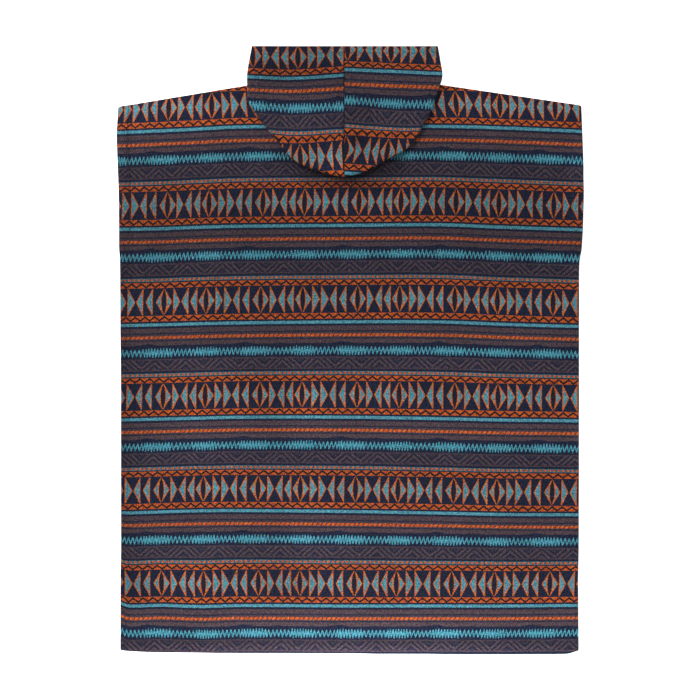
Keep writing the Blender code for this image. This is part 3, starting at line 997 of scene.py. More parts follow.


# painted light and shade on the back panel, in part the lie of the pile
BODY_PAINTED_LIGHT_AND_NAP = Nap((
    # shoulders
    (-0.300, 0.452, 0.099, 0.038, 0.15), (0.308, 0.456, 0.125, 0.042, 0.12),
    (0.223, 0.480, 0.027, 0.023, 0.14), (-0.216, 0.473, 0.023, 0.027, 0.12),
    (-0.383, 0.349, 0.076, 0.065, -0.15),
    # painted shadow round the hood's tip
    (0.000, 0.322, 0.064, 0.019, -0.66), (-0.083, 0.332, 0.032, 0.011, -0.28),
    (0.080, 0.342, 0.029, 0.013, -0.35), (-0.121, 0.378, 0.017, 0.015, -0.30),
    (-0.098, 0.359, 0.023, 0.013, -0.42), (-0.064, 0.343, 0.027, 0.011, -0.38),
    (0.042, 0.343, 0.027, 0.011, -0.32), (0.084, 0.366, 0.025, 0.017, -0.36),
    # below the shoulders
    (-0.303, 0.269, 0.209, 0.061, -0.22), (0.267, 0.269, 0.200, 0.061, -0.20),
    (-0.370, 0.224, 0.065, 0.061, -0.10), (-0.167, 0.237, 0.076, 0.095, -0.10),
    (-0.252, 0.178, 0.034, 0.015, 0.16), (-0.383, 0.155, 0.080, 0.080, -0.09),
    (0.001, 0.151, 0.437, 0.017, -0.10), (-0.041, 0.117, 0.142, 0.011, -0.16),
    (-0.228, 0.100, 0.046, 0.021, -0.12), (-0.167, 0.091, 0.072, 0.068, -0.07),
    # middle of the back
    (0.285, 0.028, 0.152, 0.023, 0.10), (-0.313, -0.023, 0.104, 0.034, 0.15),
    (0.054, -0.029, 0.076, 0.053, 0.06), (0.238, -0.023, 0.133, 0.034, 0.14),
    (0.379, -0.038, 0.080, 0.133, 0.08), (-0.161, -0.086, 0.049, 0.091, -0.14),
    (-0.077, -0.086, 0.027, 0.091, 0.12), (-0.043, -0.071, 0.034, 0.025, -0.12),
    (0.001, -0.073, 0.380, 0.017, -0.08), (0.130, -0.082, 0.027, 0.023, -0.08),
    (-0.271, -0.137, 0.076, 0.095, 0.10), (0.001, -0.152, 0.494, 0.030, 0.14),
    # lower back
    (-0.305, -0.187, 0.095, 0.038, 0.10), (-0.163, -0.211, 0.068, 0.049, -0.07),
    (0.134, -0.263, 0.304, 0.057, -0.17), (-0.383, -0.304, 0.076, 0.065, -0.05),
    (0.337, -0.308, 0.053, 0.027, -0.08), (-0.163, -0.346, 0.072, 0.084, -0.09),
    (-0.317, -0.367, 0.087, 0.027, 0.14), (-0.060, -0.367, 0.042, 0.027, 0.10),
    (0.054, -0.384, 0.072, 0.076, -0.08),
    # above the hem
    (-0.400, -0.443, 0.042, 0.042, -0.14), (-0.404, -0.451, 0.027, 0.038, -0.12),
    (-0.150, -0.443, 0.104, 0.046, -0.20), (-0.133, -0.438, 0.095, 0.038, -0.06),
    (0.124, -0.438, 0.034, 0.023, -0.08), (0.179, -0.438, 0.228, 0.049, -0.20),
    (0.058, -0.483, 0.068, 0.046, -0.07),
    # painted light along the hem
    (-0.399, -0.506, 0.046, 0.027, 0.12), (0.400, -0.510, 0.049, 0.027, 0.14),
    (-0.057, -0.527, 0.500, 0.027, 0.16), (0.000, -0.574, 0.600, 0.012, 0.70),
    # painted shade along the left edge
    (-0.412, -0.134, 0.023, 0.095, -0.08), (-0.429, -0.058, 0.015, 0.494, -0.24),
    # painted light along the right edge
    (0.430, 0.350, 0.015, 0.042, 0.34), (0.428, 0.156, 0.021, 0.025, 0.32),
    (0.428, -0.172, 0.017, 0.042, 0.18),
))
# painted light and shade on the hood, in part the lie of the pile
HOOD_PAINTED_LIGHT_AND_NAP = Nap((
    # left half, top
    (-0.148, 0.531, 0.049, 0.032, -0.42), (-0.053, 0.528, 0.049, 0.023, -0.26),
    (-0.057, 0.558, 0.038, 0.017, -0.15), (-0.095, 0.550, 0.030, 0.013, -0.12),
    # right half, top
    (0.027, 0.541, 0.030, 0.013, -0.14), (0.156, 0.539, 0.015, 0.013, -0.10),
    (0.086, 0.539, 0.076, 0.009, -0.10), (0.096, 0.509, 0.084, 0.015, 0.12),
    (0.166, 0.535, 0.015, 0.023, 0.20),
    # middle
    (-0.091, 0.456, 0.099, 0.046, 0.20), (0.111, 0.440, 0.057, 0.030, 0.22),
    (-0.091, 0.414, 0.080, 0.011, 0.20), (0.086, 0.421, 0.087, 0.009, 0.14),
    # beside the seam's end
    (-0.032, 0.364, 0.025, 0.030, 0.34), (-0.022, 0.338, 0.017, 0.011, 0.30),
    (0.012, 0.400, 0.017, 0.017, -0.50),
))


@dataclass(frozen=True)
class BodyShape:
    """Outline and levels of the laid body."""

    cloth: Cloth = Cloth()
    seam_x: float = -0.0112         # centre seam of the hood and middle of the neck
    neck_half: float = 0.130
    neck_y: float = 0.512
    back_drop: float = 0.030        # depth of the back neckline
    front_drop: float = 0.075
    neck_power: float = 2.4         # roundness of the necklines
    armhole_y: float = 0.185        # lower end of the armholes
    armhole_fade: float = 0.020
    hem_flat: float = 0.8           # share of a hem's depth up to which it is at its thickest
    left_shoulder: Pair = (-0.4408, 0.4622)
    right_shoulder: Pair = (0.4385, 0.4650)
    corner_drop: float = 0.0015
    corner_share: float = 0.015
    slope_step: float = 0.0005      # stretch over which the slope of an edge is taken
    # side edges: y, left x, right x
    sides: Table = (
        (-0.578, -0.4361, 0.4332),
        (-0.430, -0.4361, 0.4323),
        (-0.380, -0.4352, 0.4336),
        (-0.050, -0.4354, 0.4342),
        (0.030, -0.4364, 0.4342),
        (0.148, -0.4370, 0.4342),
        (0.171, -0.4372, 0.4351),
        (0.193, -0.4389, 0.4389),
        (0.225, -0.4389, 0.4408),
        (0.285, -0.4392, 0.4427),
        (0.350, -0.4415, 0.4427),
        (0.406, -0.4437, 0.4408),
        (0.463, -0.4408, 0.4385),
        (0.530, -0.4408, 0.4385),
    )
    # hem: x, y
    hem: Table = (
        (-0.4361, -0.5686),
        (-0.4220, -0.5705),
        (-0.3840, -0.5724),
        (-0.2470, -0.5743),
        (0.0040, -0.5748),
        (0.0500, -0.5760),
        (0.3920, -0.5760),
        (0.4140, -0.5748),
        (0.4332, -0.5690),
    )
    # soft ridges where the garment has been folded: both ends, half width, height
    creases: Table = (
        (-0.430, 0.168, -0.120, 0.118, 0.036, 0.0014),
        (-0.120, 0.112, 0.430, 0.152, 0.036, 0.0016),
        (-0.140, -0.206, 0.425, -0.226, 0.034, 0.0016),
        (-0.300, -0.010, -0.290, -0.420, 0.040, 0.0012),
        (0.095, 0.060, 0.100, -0.430, 0.038, 0.0014),
        (-0.060, -0.380, -0.030, -0.560, 0.040, 0.0010),
    )


    def top_edge(self, x: float, neck_drop: float) -> float:
        """Height of the shoulders and neckline at x."""
        across = abs(x - self.seam_x) / self.neck_half
        if across <= 1.0:
            return self.neck_y - neck_drop * (1.0 - across**self.neck_power)
        end_x, end_y = self.left_shoulder if x < self.seam_x else self.right_shoulder
        point_x = self.seam_x + math.copysign(self.neck_half, x - self.seam_x)
        share = (x - point_x) / (end_x - point_x)
        past = max(share - 1.0 + self.corner_share, 0.0) / self.corner_share
        return lerp(self.neck_y, end_y, share) - self.corner_drop * past

    def side_edges(self, y: float) -> Pair:
        """Left and right edge at a height."""
        return read_table(self.sides, y, 1), read_table(self.sides, y, 2)

    def insets(self, x: float, y: float) -> Pair:
        """How far a point lies inside the hem, and inside the nearer side."""
        left, right = self.side_edges(y)
        return y - read_table(self.hem, x), min(x - left, right - x)

    def by_hems(self, at_hem: float, at_side: float, y: float) -> float:
        """The stronger of what a hem does at the foot and at the armhole, which fades out below it."""
        return max(at_hem, at_side * ease((y - self.armhole_y) / self.armhole_fade))

    def hem_rise(self, x: float, y: float) -> float:
        """What the turned hems add to the thickness at a point."""
        depth = self.cloth.hem_depth
        turned = [
            1.0 - ease((inset - depth * self.hem_flat) / (depth * (1.0 - self.hem_flat)))
            for inset in self.insets(x, y)
        ]
        return self.cloth.hem_rise * self.by_hems(*turned, y)

    def pressed_with_painted_shade(self, x: float, y: float) -> float:
        """How far the stitching of the hems presses the cloth at a point, which also paints shade in its
        groove.
        """
        cloth = self.cloth
        presses = [bell(inset - cloth.stitch_in, cloth.groove_half) for inset in self.insets(x, y)]
        return self.by_hems(*presses, y)

    def relief(self, x: float, y: float) -> float:
        """Height of the soft fold ridges at a point."""
        height = 0.0
        for x0, y0, x1, y1, half_width, rise in self.creases:
            along_x, along_y = x1 - x0, y1 - y0
            share = ((x - x0) * along_x + (y - y0) * along_y) / (along_x**2 + along_y**2)
            share = min(max(share, 0.0), 1.0)
            distance = math.hypot(x - x0 - share * along_x, y - y0 - share * along_y)
            height += rise * bell(distance, half_width)
        return height

    def beside_edge(self, x: float, neck_drop: float, distance: float) -> Vector:
        """The point at a distance outside the body's top edge."""
        top = self.top_edge(x, neck_drop)
        step = math.copysign(self.slope_step, x - self.seam_x)
        slope = (self.top_edge(x + step, neck_drop) - top) / step
        return Vector((x, top)) + Vector((-slope, 1.0)).normalized() * distance


def read_slides(slides: Table, across: Sequence[float], x: float, y: float) -> float:
    """How far the print slides at a point.

    Args:
        slides: Falling heights, each with the slide in millimetres at every place across.
        across: Those places.
        x: The point's place across.
        y: Its height.

    Returns:
        The slide in metres.
    """
    levels = [(-height, run_through(across, slide, x) / MM) for height, *slide in slides]
    return read_table(levels, -y)


@dataclass(frozen=True)
class BodyPrint:
    """Where the print lies on the body: level bands that hang a little towards the sides."""

    across: Values = (
        -0.437, -0.422, -0.361, -0.285, -0.209, 0.0, 0.171, 0.285, 0.399, 0.435
    )
    # plain teal stripes: height at x = 0, then how far each hangs lower at the places across, in mm
    stripes: Table = (
        (0.6046, 12.0, 11.3, 8.5, 4.9, 0.9, 0.0, 0.0, 2.8, 7.6, 9.5),
        (0.4256, 12.0, 11.3, 8.5, 4.9, 0.9, 0.0, 0.0, 2.8, 7.6, 9.5),
        (0.2378, 7.8, 7.6, 6.6, 3.6, 1.7, 0.0, -1.1, 3.4, 7.2, 8.5),
        (0.0548, 7.4, 7.1, 5.7, 3.6, 2.1, 0.0, 0.2, 4.6, 8.0, 8.7),
        (-0.1262, 5.3, 5.0, 3.6, 1.7, 0.0, 0.0, 2.8, 5.3, 6.6, 7.2),
        (-0.3052, 1.9, 2.6, 0.8, -1.5, -1.8, 0.0, 3.0, 5.5, 6.1, 6.1),
        (-0.4844, -6.8, -0.3, -1.4, 1.0, -0.9, 0.0, -0.1, 0.1, -0.9, -1.1),
        (-0.6606, -6.8, -0.3, -1.4, 1.0, -0.9, 0.0, -0.1, 0.1, -0.9, -1.1),
    )
    lens_x: float = -0.1666         # middle of a whole lens in the upper rows
    lens_y: float = 0.284
    drift: Pair = (0.0173, 0.0099)  # sideways drift on the left and the right
    drift_x: Pair = (-0.17, 0.09)   # places that have those drifts
    most_lean: float = 0.02
    # rows of arrowheads: height, then how far the print lies to the left there, in mm
    slides: Table = (
        (0.4900, -4.5, -4.1, -2.3, -2.8, -3.8, -2.0, 3.9, -2.4, -4.4, -4.4),
        (0.4400, -4.1, -3.7, -2.0, -2.8, -9.1, -2.0, -2.0, -3.9, -5.0, -4.4),
        (0.4050, -3.7, -3.3, -1.6, -2.6, -3.6, -2.0, -2.7, -3.9, -4.6, -4.4),
        (0.2750, -3.8, -3.8, -3.7, -2.9, -1.2, 0.2, 0.0, -2.1, -2.5, -2.5),
        (0.0945, -0.6, -0.5, -0.3, -0.6, 0.2, 0.6, 1.1, -0.2, -1.5, -1.5),
        (-0.0898, -2.0, -2.1, -2.3, -2.6, -2.0, -0.4, -0.2, -2.2, -1.9, -1.9),
        (-0.2680, -2.3, -2.3, -2.3, -2.4, -1.2, 0.2, 0.7, -0.7, -0.2, -0.2),
        (-0.4470, -6.0, -6.1, -6.4, -6.6, -5.6, 0.4, 3.1, 3.4, 4.0, 4.0),
        (-0.4730, -7.2, -7.3, -7.9, -8.1, -6.4, -0.8, 3.1, 3.7, 5.2, 5.6),
        (-0.5100, -8.9, -9.0, -9.4, -9.4, -7.9, -1.6, 3.2, 4.9, 7.7, 7.7),
        (-0.5400, -12.5, -12.4, -12.2, -11.8, -9.5, -1.6, 4.3, 6.9, 10.5, 11.0),
    )

    def place(self, x: float, y: float) -> Pair:
        """Repeats across and down at a point of the body."""
        start, end = self.drift_x
        lean = min(max(lerp(*self.drift, (x - start) / (end - start)), 0.0), self.most_lean)
        slide = read_slides(self.slides, self.across, x, y)
        across = (x - self.lens_x + lean * (self.lens_y - y) + slide) / (REPEAT[0] / MM)
        heights = [height - run_through(self.across, hang, x) / MM for height, *hang in self.stripes]
        index, share = find_step(heights, y)
        return across, index + share + STRIPE_DOWN / REPEAT[1]


@dataclass
class BodyPanel:
    """The back or the front of the body, from the hem to the shoulders and the neckline."""

    name: str
    facing: Facing
    neck_drop: float
    base: float                     # level of the cloth's lower side
    step: float                     # distance between points
    soft: bool                      # whether the panel shows fold marks
    body: BodyShape = field(default_factory=BodyShape)
    lay: BodyPrint = field(default_factory=BodyPrint)
    peek_side: float = 0.0          # how far it shows past the other panel at the right armhole
    peek_hem: float = 0.0           # and at the right half of the hem
    peek_low: float = 0.16          # lower end of that stretch of the armhole
    peek_high: float = 0.34
    peek_fade: float = 0.03
    peek_from: float = 0.10         # where the hem starts to show, and how soon it shows in full
    ripple: float = 0.0007
    wave: Values = (0.075, 0.075, 3.7, 0.75)  # size across and up, noise level, share
    fine: Values = (0.028, 0.034, 9.1, 0.25)
    calm_half: float = 0.20         # half the width that the hood keeps calm, and its lower end
    calm_y: float = 0.325
    calm_fade: Pair = (0.03, 0.04)
    charts: Table = ((0.004, 0.900), (0.910, 0.996))

    def columns(self) -> list[Pair]:
        """Places of the columns at the shoulders, and the cloth's fullness at each."""
        ladder = self.body.cloth.edge_ladder()
        left, right = self.body.left_shoulder[0], self.body.right_shoulder[0]
        inner = ladder[-1][0]
        across = [(left + d, full) for d, full in ladder]
        across += [(x, 1.0) for x in even_steps(left + inner, right - inner, self.step)]
        return across + [(right - d, full) for d, full in reversed(ladder)]

    def heights(self, hem: float, top: float) -> list[Pair]:
        """Places of a column's points from its hem to its top, and the cloth's fullness at each."""
        ladder = self.body.cloth.edge_ladder()
        low, high = hem + ladder[-1][0], top - ladder[-1][0]
        count = max(round((self.body.neck_y - self.body.hem[0][1]) / self.step), 1)
        up = [(hem + d, full) for d, full in ladder]
        up += [(lerp(low, high, k / count), 1.0) for k in range(1, count)]
        return up + [(top - d, full) for d, full in reversed(ladder)]

    def rippling(self, x: float, y: float) -> float:
        """How far the cloth ripples up at a point: not at all under the hood."""
        beside = ease((abs(x - self.body.seam_x) - self.calm_half) / self.calm_fade[0])
        below = ease((self.calm_y - y) / self.calm_fade[1])
        height = 1.0
        for across, up, level, share in (self.wave, self.fine):
            height += share * noise.noise(Vector((x / across, y / up, level)))
        return max(beside, below) * self.ripple * height

    def levels(self, x: float, y: float) -> Pair:
        """Level of the cloth's middle and half its thickness."""
        rise = self.body.hem_rise(x, y)
        half = (self.body.cloth.thickness + rise) / 2
        base = self.base
        if self.soft:
            base += rise + self.body.relief(x, y) + self.rippling(x, y)
        return base + half, half

    def peek(self, x: float, y: float) -> Pair:
        """A point moved out where this panel shows past the other."""
        beside = ease((y - self.peek_low) / self.peek_fade) * ease((self.peek_high - y) / self.peek_fade)
        x += self.peek_side * beside * ease(x / self.body.right_shoulder[0])
        near_hem = 1.0 - ease((y - read_table(self.body.hem, x)) / self.body.cloth.hem_depth)
        return x, y - self.peek_hem * ease((x - self.peek_from) / self.peek_from) * near_hem

    def point(self, x: float, y: float, full: float, inside: bool) -> ClothPoint:
        """The panel's point at a place, with the cloth at a share of its thickness there."""
        middle, half = self.levels(x, y)
        # pressing of the hems' stitching, with painted shade in its groove
        pressed_with_painted_shade = self.body.pressed_with_painted_shade(x, y)
        sink = self.body.cloth.groove * pressed_with_painted_shade if self.soft else 0.0
        flat = self.peek(x, y)
        # painted light and shade, in part the lie of the pile
        painted_light_and_nap = BODY_PAINTED_LIGHT_AND_NAP.at(x, y) if self.soft else 0.0
        return ClothPoint(Vector((*flat, middle - sink)), flat, half * full, pressed_with_painted_shade, 0, inside, painted_light_and_nap)

    def rows(self) -> list[list[ClothPoint]]:
        """The panel's points, a list for each column from the hem up."""
        body = self.body
        rows = []
        for top_x, full_across in self.columns():
            top = body.top_edge(top_x, self.neck_drop)
            left, right = body.side_edges(top)
            across = (top_x - left) / (right - left)
            hem = read_table(body.hem, lerp(*body.sides[0][1:], across))
            row = []
            for y, full in self.heights(hem, top):
                left, right = body.side_edges(y)
                x = lerp(left, right, across)
                inside = min(x - left, right - x, y - hem, top - y) > body.cloth.hem_depth
                row.append(self.point(x, y, min(full, full_across), inside))
            rows.append(row)
        return rows

    def build(self) -> Piece:
        """The panel as a closed wall of cloth."""
        return ClothWall(self.name, self.rows(), self.facing, self.lay.place, self.charts).build()


# ---- hood ----
@dataclass(frozen=True)
class HoodPrint:
    """Where the print lies on one half of the hood."""

    side: Side
    lens_x: float                   # middle of a whole lens
    marks: Table                    # mm down the print, then its height at each place beside the seam
    slides: Table                   # height, then how far the print lies towards -X there, in mm
    beside_seam: Triple = (0.0, 0.099, 0.179)
    seam_x: float = BodyShape.seam_x

    def place(self, x: float, y: float) -> Pair:
        """Repeats across and down at a point of the half, laid flat."""
        beside = (x - self.seam_x) * self.side.value
        heights = [run_through(self.beside_seam, at, beside) for _, *at in self.marks]
        index, share = find_step(heights, y)
        down = lerp(self.marks[index][0], self.marks[index + 1][0], share)
        slide = read_slides(self.slides, self.beside_seam, min(beside, self.beside_seam[2]), y)
        return (x - self.lens_x + slide) / (REPEAT[0] / MM), down / REPEAT[1]


@dataclass
class HoodHalf:
    """One half of the hood: ribs of points that run from the crown seam round to the inside."""

    name: str
    side: Side
    outline_rows: Table             # y, distance from the seam
    lay: HoodPrint
    body: BodyShape = field(default_factory=BodyShape)
    top_y: float = 0.5775           # straight edge of the face opening
    tip_y: float = 0.3284           # lowest point, where the crown seam turns under
    pivot_y: float = 0.4750         # point of the seam from which the lower ribs fan out
    pivot_reach: float = 0.015
    throat_settle: int = 6
    face_centre_y: float = 0.4600
    face_bow: float = 0.008
    fold_radius: float = 0.0023
    clearance: float = 0.0006       # spare height between the hood's layers
    throat_out: float = 0.0040      # distance of the throat from the shoulder edge
    nape_in: float = 0.0015
    # climb over the shoulder's edge: distance outside the edge, share of the climb
    shoulder_step: Table = ((0.0021, 0.22), (0.0019, 0.70), (0.0008, 1.00))
    crown_edge_mid: float = 0.0050
    crown_bulge: float = 0.0016
    crown_half: float = 0.17
    crown_round_y: float = 0.10
    crown_blend: float = 0.4
    crown_rise_y: Pair = (0.5775, 0.5150)
    dent: float = 0.0006
    dent_size: Pair = (0.045, 0.050)
    dent_level: float = 2.0         # of the noise
    dent_lift: float = 0.2
    dent_in: Pair = (0.02, 0.04)    # how far from the seam and the outline they fade
    dent_half: float = 0.150
    pucker: float = 0.0003
    pucker_pitch: float = 0.0125
    pucker_apart: float = 0.002     # how far the two halves' puckers are out of step, each way
    pucker_from: float = 0.004      # where they are highest beside the seam, and how far they reach
    pucker_reach: float = 0.012
    pucker_y: Pair = (0.46, 0.05)   # their upper end and how they fade there
    tip_fade: float = 0.03
    hem_in: float = 0.0130          # stitching of the face opening's hem, from its edge
    hem_end: float = 0.003          # stretch over which the hem's thickness ends
    seam_round: float = 0.0035      # stretch over which the cloth dips into the crown seam
    seam_press_and_shade_reach: float = 0.0016      # how far beside the seam the pile lies flat with painted shade
    # how dark the painted shade and pressing along the seam are
    seam_press_and_shade_strength: float = 2.0
    throat_ribs: int = 14
    nape_ribs: int = 72
    crown_stations: int = 34
    fold_stations: int = 9
    shoulder_stations: int = 5
    neck_steps: int = 12
    samples: int = 400
    by_seam: Values = (0.0, 0.0002, 0.0007, 0.0016, 0.0027)  # points close to the seam
    by_face: Values = (0.0012, 0.004, 0.008)  # ribs close to the face opening
    by_tip: Values = (0.993, 0.997, 1.0)  # shares of the last ribs
    charts: Table = ((0.004, 0.620), (0.630, 0.800), (0.810, 0.900), (0.910, 0.996))

    def __post_init__(self) -> None:
        """Work out the outline, and the stations of the layer underneath."""
        cloth, sign = self.body.cloth, self.side.value
        self.seam = self.body.seam_x
        self.floor_mid = cloth.thickness / 2
        self.nape_mid = 2 * cloth.layer + cloth.thickness / 2
        self.throat_lift = self.nape_mid - self.floor_mid - self.clearance
        self.crown_mid = self.nape_mid + 2 * self.fold_radius + self.clearance
        corners = [Vector((self.seam + sign * width, y)) for y, width in self.outline_rows]
        self.outline = smooth_line(corners, self.samples)
        fold_x = self.outline_at(self.share_outside(0.0)).x
        fold_x -= sign * (self.fold_radius + cloth.thickness / 2)
        steps, count = self.neck_steps, self.shoulder_stations
        neck = [self.seam + sign * self.body.neck_half * (1.0 - k / steps) for k in range(steps)]
        self.stations = [lerp(fold_x, neck[0], k / count) for k in range(count)] + neck + [self.seam]
        self.last = len(self.stations) - 1
        drop = self.body.front_drop
        self.front_edge = [Vector((x, self.body.top_edge(x, drop))) for x in self.stations]
        lengths = lengths_along(self.front_edge)
        self.run = [length / lengths[-1] for length in lengths]

    def outline_at(self, share: float) -> Vector:
        """The outline's point at a share of its length."""
        place = share * (self.samples - 1)
        index = min(int(place), self.samples - 2)
        return self.outline[index].lerp(self.outline[index + 1], place - index)

    def share_outside(self, distance: float) -> float:
        """Share of the outline's length at which it is a distance outside the shoulder's edge."""
        for index, point in enumerate(self.outline):
            if point.y - self.body.top_edge(point.x, self.body.back_drop) < distance:
                return index / (self.samples - 1)
        return 1.0

    def crown_height(self, x: float, y: float) -> float:
        """Mid line of the crown away from its fold."""
        high, low = self.crown_rise_y
        rise = ease((high - y) / (high - low))
        round_x = 1.0 - ease(abs(x - self.seam) / self.crown_half)
        round_y = ease((y - self.tip_y) / self.crown_round_y) * rise
        level = lerp(self.crown_edge_mid, self.crown_mid, rise)
        return level + self.crown_bulge * round_x * round_y + self.softness(x, y) * rise

    def softness(self, x: float, y: float) -> float:
        """Small dents of the crown and the puckers along its seam."""
        beside, sign = abs(x - self.seam), self.side.value
        across, up = self.dent_size
        dents = noise.noise(Vector((x / across, y / up, self.dent_level + sign))) + self.dent_lift
        dents *= ease(beside / self.dent_in[0]) * ease((self.dent_half - beside) / self.dent_in[1])
        puckers = math.sin((y + self.pucker_apart * sign) / self.pucker_pitch * 2 * math.pi)
        puckers *= bell(beside - self.pucker_from, self.pucker_reach)
        puckers *= ease((self.pucker_y[0] - y) / self.pucker_y[1]) * ease((y - self.tip_y) / self.tip_fade)
        return self.dent * dents + self.pucker * puckers

    def crown_point(self, spot: Vector, height: float, full: float) -> ClothPoint:
        """The crown's point at a place and height, thinner by the seam and thicker in the hem."""
        cloth = self.body.cloth
        beside, from_face = abs(spot.x - self.seam), self.top_y - spot.y - self.hem_in
        pressed_with_painted_shade = bell(from_face, cloth.groove_half)
        # painted shade along the hem's stitching and the crown seam, with the pile pressed flat there
        flattened_with_painted_shade = max(pressed_with_painted_shade, self.seam_press_and_shade_strength * bell(beside, self.seam_press_and_shade_reach))
        hem = 1.0 - ease(from_face / self.hem_end)
        full = min(full, fullness(beside, self.seam_round))
        half = (cloth.thickness + cloth.hem_rise * hem) / 2 * full
        place = Vector((spot.x, spot.y, height - cloth.groove * pressed_with_painted_shade))
        # painted light and shade, in part the lie of the pile
        painted_light_and_nap = HOOD_PAINTED_LIGHT_AND_NAP.at(spot.x, spot.y)
        return ClothPoint(place, (spot.x, spot.y), half, flattened_with_painted_shade, 0, hem < 0.5, painted_light_and_nap)

    def rib(self, share: float, target: Vector, under: Callable[[Vector, int], Vector],
            full: float) -> list[ClothPoint]:
        """One rib of the half.

        Args:
            share: Where it folds, as a share of the outline's length.
            target: Where it starts at the crown seam.
            under: Gives the points of the layer underneath.
            full: Fullness of the cloth along the rib.

        Returns:
            Points over the crown, round the fold and back underneath.
        """
        cloth, radius = self.body.cloth, self.fold_radius
        edge = self.outline_at(share)
        inward = (target - edge).normalized()
        centre = edge + inward * (cloth.thickness / 2 + radius)
        first_under = under(centre, 0)
        fold_top = first_under.z + 2 * radius
        points = []
        for t in self.crown_shares((centre - target).length):
            spot = target.lerp(centre, t)
            folded = 1.0 - ease((1.0 - t) / self.crown_blend)
            height = lerp(self.crown_height(spot.x, spot.y), fold_top, folded)
            points.append(self.crown_point(spot, height, full))
        half = cloth.thickness / 2 * full
        for k in range(1, self.fold_stations):
            angle = math.pi * (0.5 - k / self.fold_stations)
            spot = centre - inward * (radius * math.cos(angle))
            flat = centre - inward * (radius * (math.pi / 2 - angle))
            place = Vector((spot.x, spot.y, first_under.z + radius * (1.0 + math.sin(angle))))
            points.append(ClothPoint(place, (flat.x, flat.y), half, lined=full >= 1.0))
        for k in range(self.last + 1):
            place = under(centre, k) if k else first_under
            dip = fullness(abs(place.x - self.seam), cloth.thickness / 2)
            flat = place.xy if k else centre - inward * radius * math.pi
            points.append(ClothPoint(place, (flat.x, flat.y), half * dip, chart=int(k > 0), lined=True))
        return points

    def crown_shares(self, length: float) -> list[float]:
        """Shares of a rib's length at which its crown has points, closer beside the seam."""
        near = [distance / length for distance in self.by_seam]
        count = self.crown_stations
        return near + [lerp(near[-1], 1.0, k / count) for k in range(1, count + 1)]

    def throat_rib(self, across: float, full: float) -> list[ClothPoint]:
        """A rib beyond the shoulders; across runs from the face opening to the front neckline."""
        corner = self.outline_at(0.0)
        bottom = Vector((self.seam, self.face_centre_y))
        rise = self.throat_lift * across**2

        def under(start: Vector, k: int) -> Vector:
            """Point k of the throat, which lies on the surface."""
            if k == 0:
                return Vector((start.x, start.y, self.floor_mid + rise))
            face_edge = corner.lerp(bottom, self.run[k])
            face_edge.y += self.face_bow * math.sin(math.pi * self.run[k])
            outside = self.throat_out if k <= self.shoulder_stations else self.body.cloth.gap
            neck_edge = self.body.beside_edge(self.stations[k], self.body.front_drop, outside)
            spot = face_edge.lerp(neck_edge, across)
            leave = start - corner.lerp(self.front_edge[0], across)
            spot += leave * (1.0 - self.run[k]) ** self.throat_settle
            climb = rise * max(1.0 - k / self.shoulder_stations, 0.0)
            return Vector((self.seam if k == self.last else spot.x, spot.y, self.floor_mid + climb))

        share = self.share_outside(self.throat_out) * across
        seam_y = lerp(self.top_y, self.pivot_y + self.pivot_reach, across)
        return self.rib(share, Vector((self.seam, seam_y)), under, full)

    def nape_rib(self, down: float) -> list[ClothPoint]:
        """A rib over the back panel; the first follows its top edge, the last the seam."""
        def nape_edge(x: float) -> Vector:
            """Point of the nape's edge at x."""
            return self.body.beside_edge(x, self.body.back_drop, -self.nape_in)

        first, end = nape_edge(self.stations[0]), nape_edge(self.seam)

        def under(start: Vector, k: int) -> Vector:
            """Point k of the nape, which lies on the back panel."""
            if k == 0:
                return Vector((start.x, start.y, self.nape_mid))
            if k == self.last:
                return Vector((self.seam, end.y, self.nape_mid))
            t = (self.stations[k] - self.stations[0]) / (self.seam - self.stations[0])
            follow = nape_edge(self.stations[k]) - first.lerp(end, t)
            spot = start.lerp(end, t) + follow * (1.0 - down) ** 2
            return Vector((spot.x, spot.y, self.nape_mid))

        share = lerp(self.share_outside(-self.nape_in), 1.0, down)
        return self.rib(share, Vector((self.seam, self.pivot_y)), under, 1.0)

    def step_ribs(self, throat: list[ClothPoint], nape: list[ClothPoint]) -> list[list[ClothPoint]]:
        """Short ribs that climb over the shoulder's edge, and end at the neck point."""
        under_start = len(throat) - self.last - 1
        ribs = []
        for distance, climb in self.shoulder_step:
            mix = (self.throat_out - distance) / (self.throat_out + self.nape_in)
            points = []
            for k in range(under_start + self.shoulder_stations + 1):
                a, b = throat[k], nape[k]
                place = a.place.lerp(b.place, mix)
                if k >= under_start:
                    place.z = lerp(a.place.z, b.place.z, climb)
                flat = (lerp(a.flat[0], b.flat[0], mix), lerp(a.flat[1], b.flat[1], mix))
                points.append(ClothPoint(place, flat, lerp(a.half, b.half, mix), 0.0, a.chart, True))
            ribs.append(points)
        return ribs

    def ribs(self) -> list[list[ClothPoint]]:
        """All ribs, from the face opening to the tip."""
        cloth, count, last = self.body.cloth, self.throat_ribs, self.nape_ribs
        reach = self.top_y - self.pivot_y
        edge = [(d / reach, full) for d, full in rounded_edge(cloth.thickness / 2)]
        near = [d / reach for d in (*self.by_face, *cloth.across_groove(self.hem_in))]
        near += [lerp(near[-1], 1.0, k / count) for k in range(1, count + 1)]
        throat = [self.throat_rib(across, full) for across, full in edge + [(d, 1.0) for d in near]]
        nape = [self.nape_rib(down) for down in (*(k / last for k in range(last)), *self.by_tip)]
        return throat + self.step_ribs(throat[-1], nape[0]) + nape

    def build(self) -> Piece:
        """The half as one closed wall of cloth. No point of it crosses the seam."""
        facing = Facing.DOWN if self.side is Side.LEFT else Facing.UP
        piece = ClothWall(self.name, self.ribs(), facing, self.lay.place, self.charts).build()
        for vert in piece.data.vertices:
            if (vert.co.x - self.seam) * self.side.value < 0.0:
                vert.co.x = self.seam
        return piece


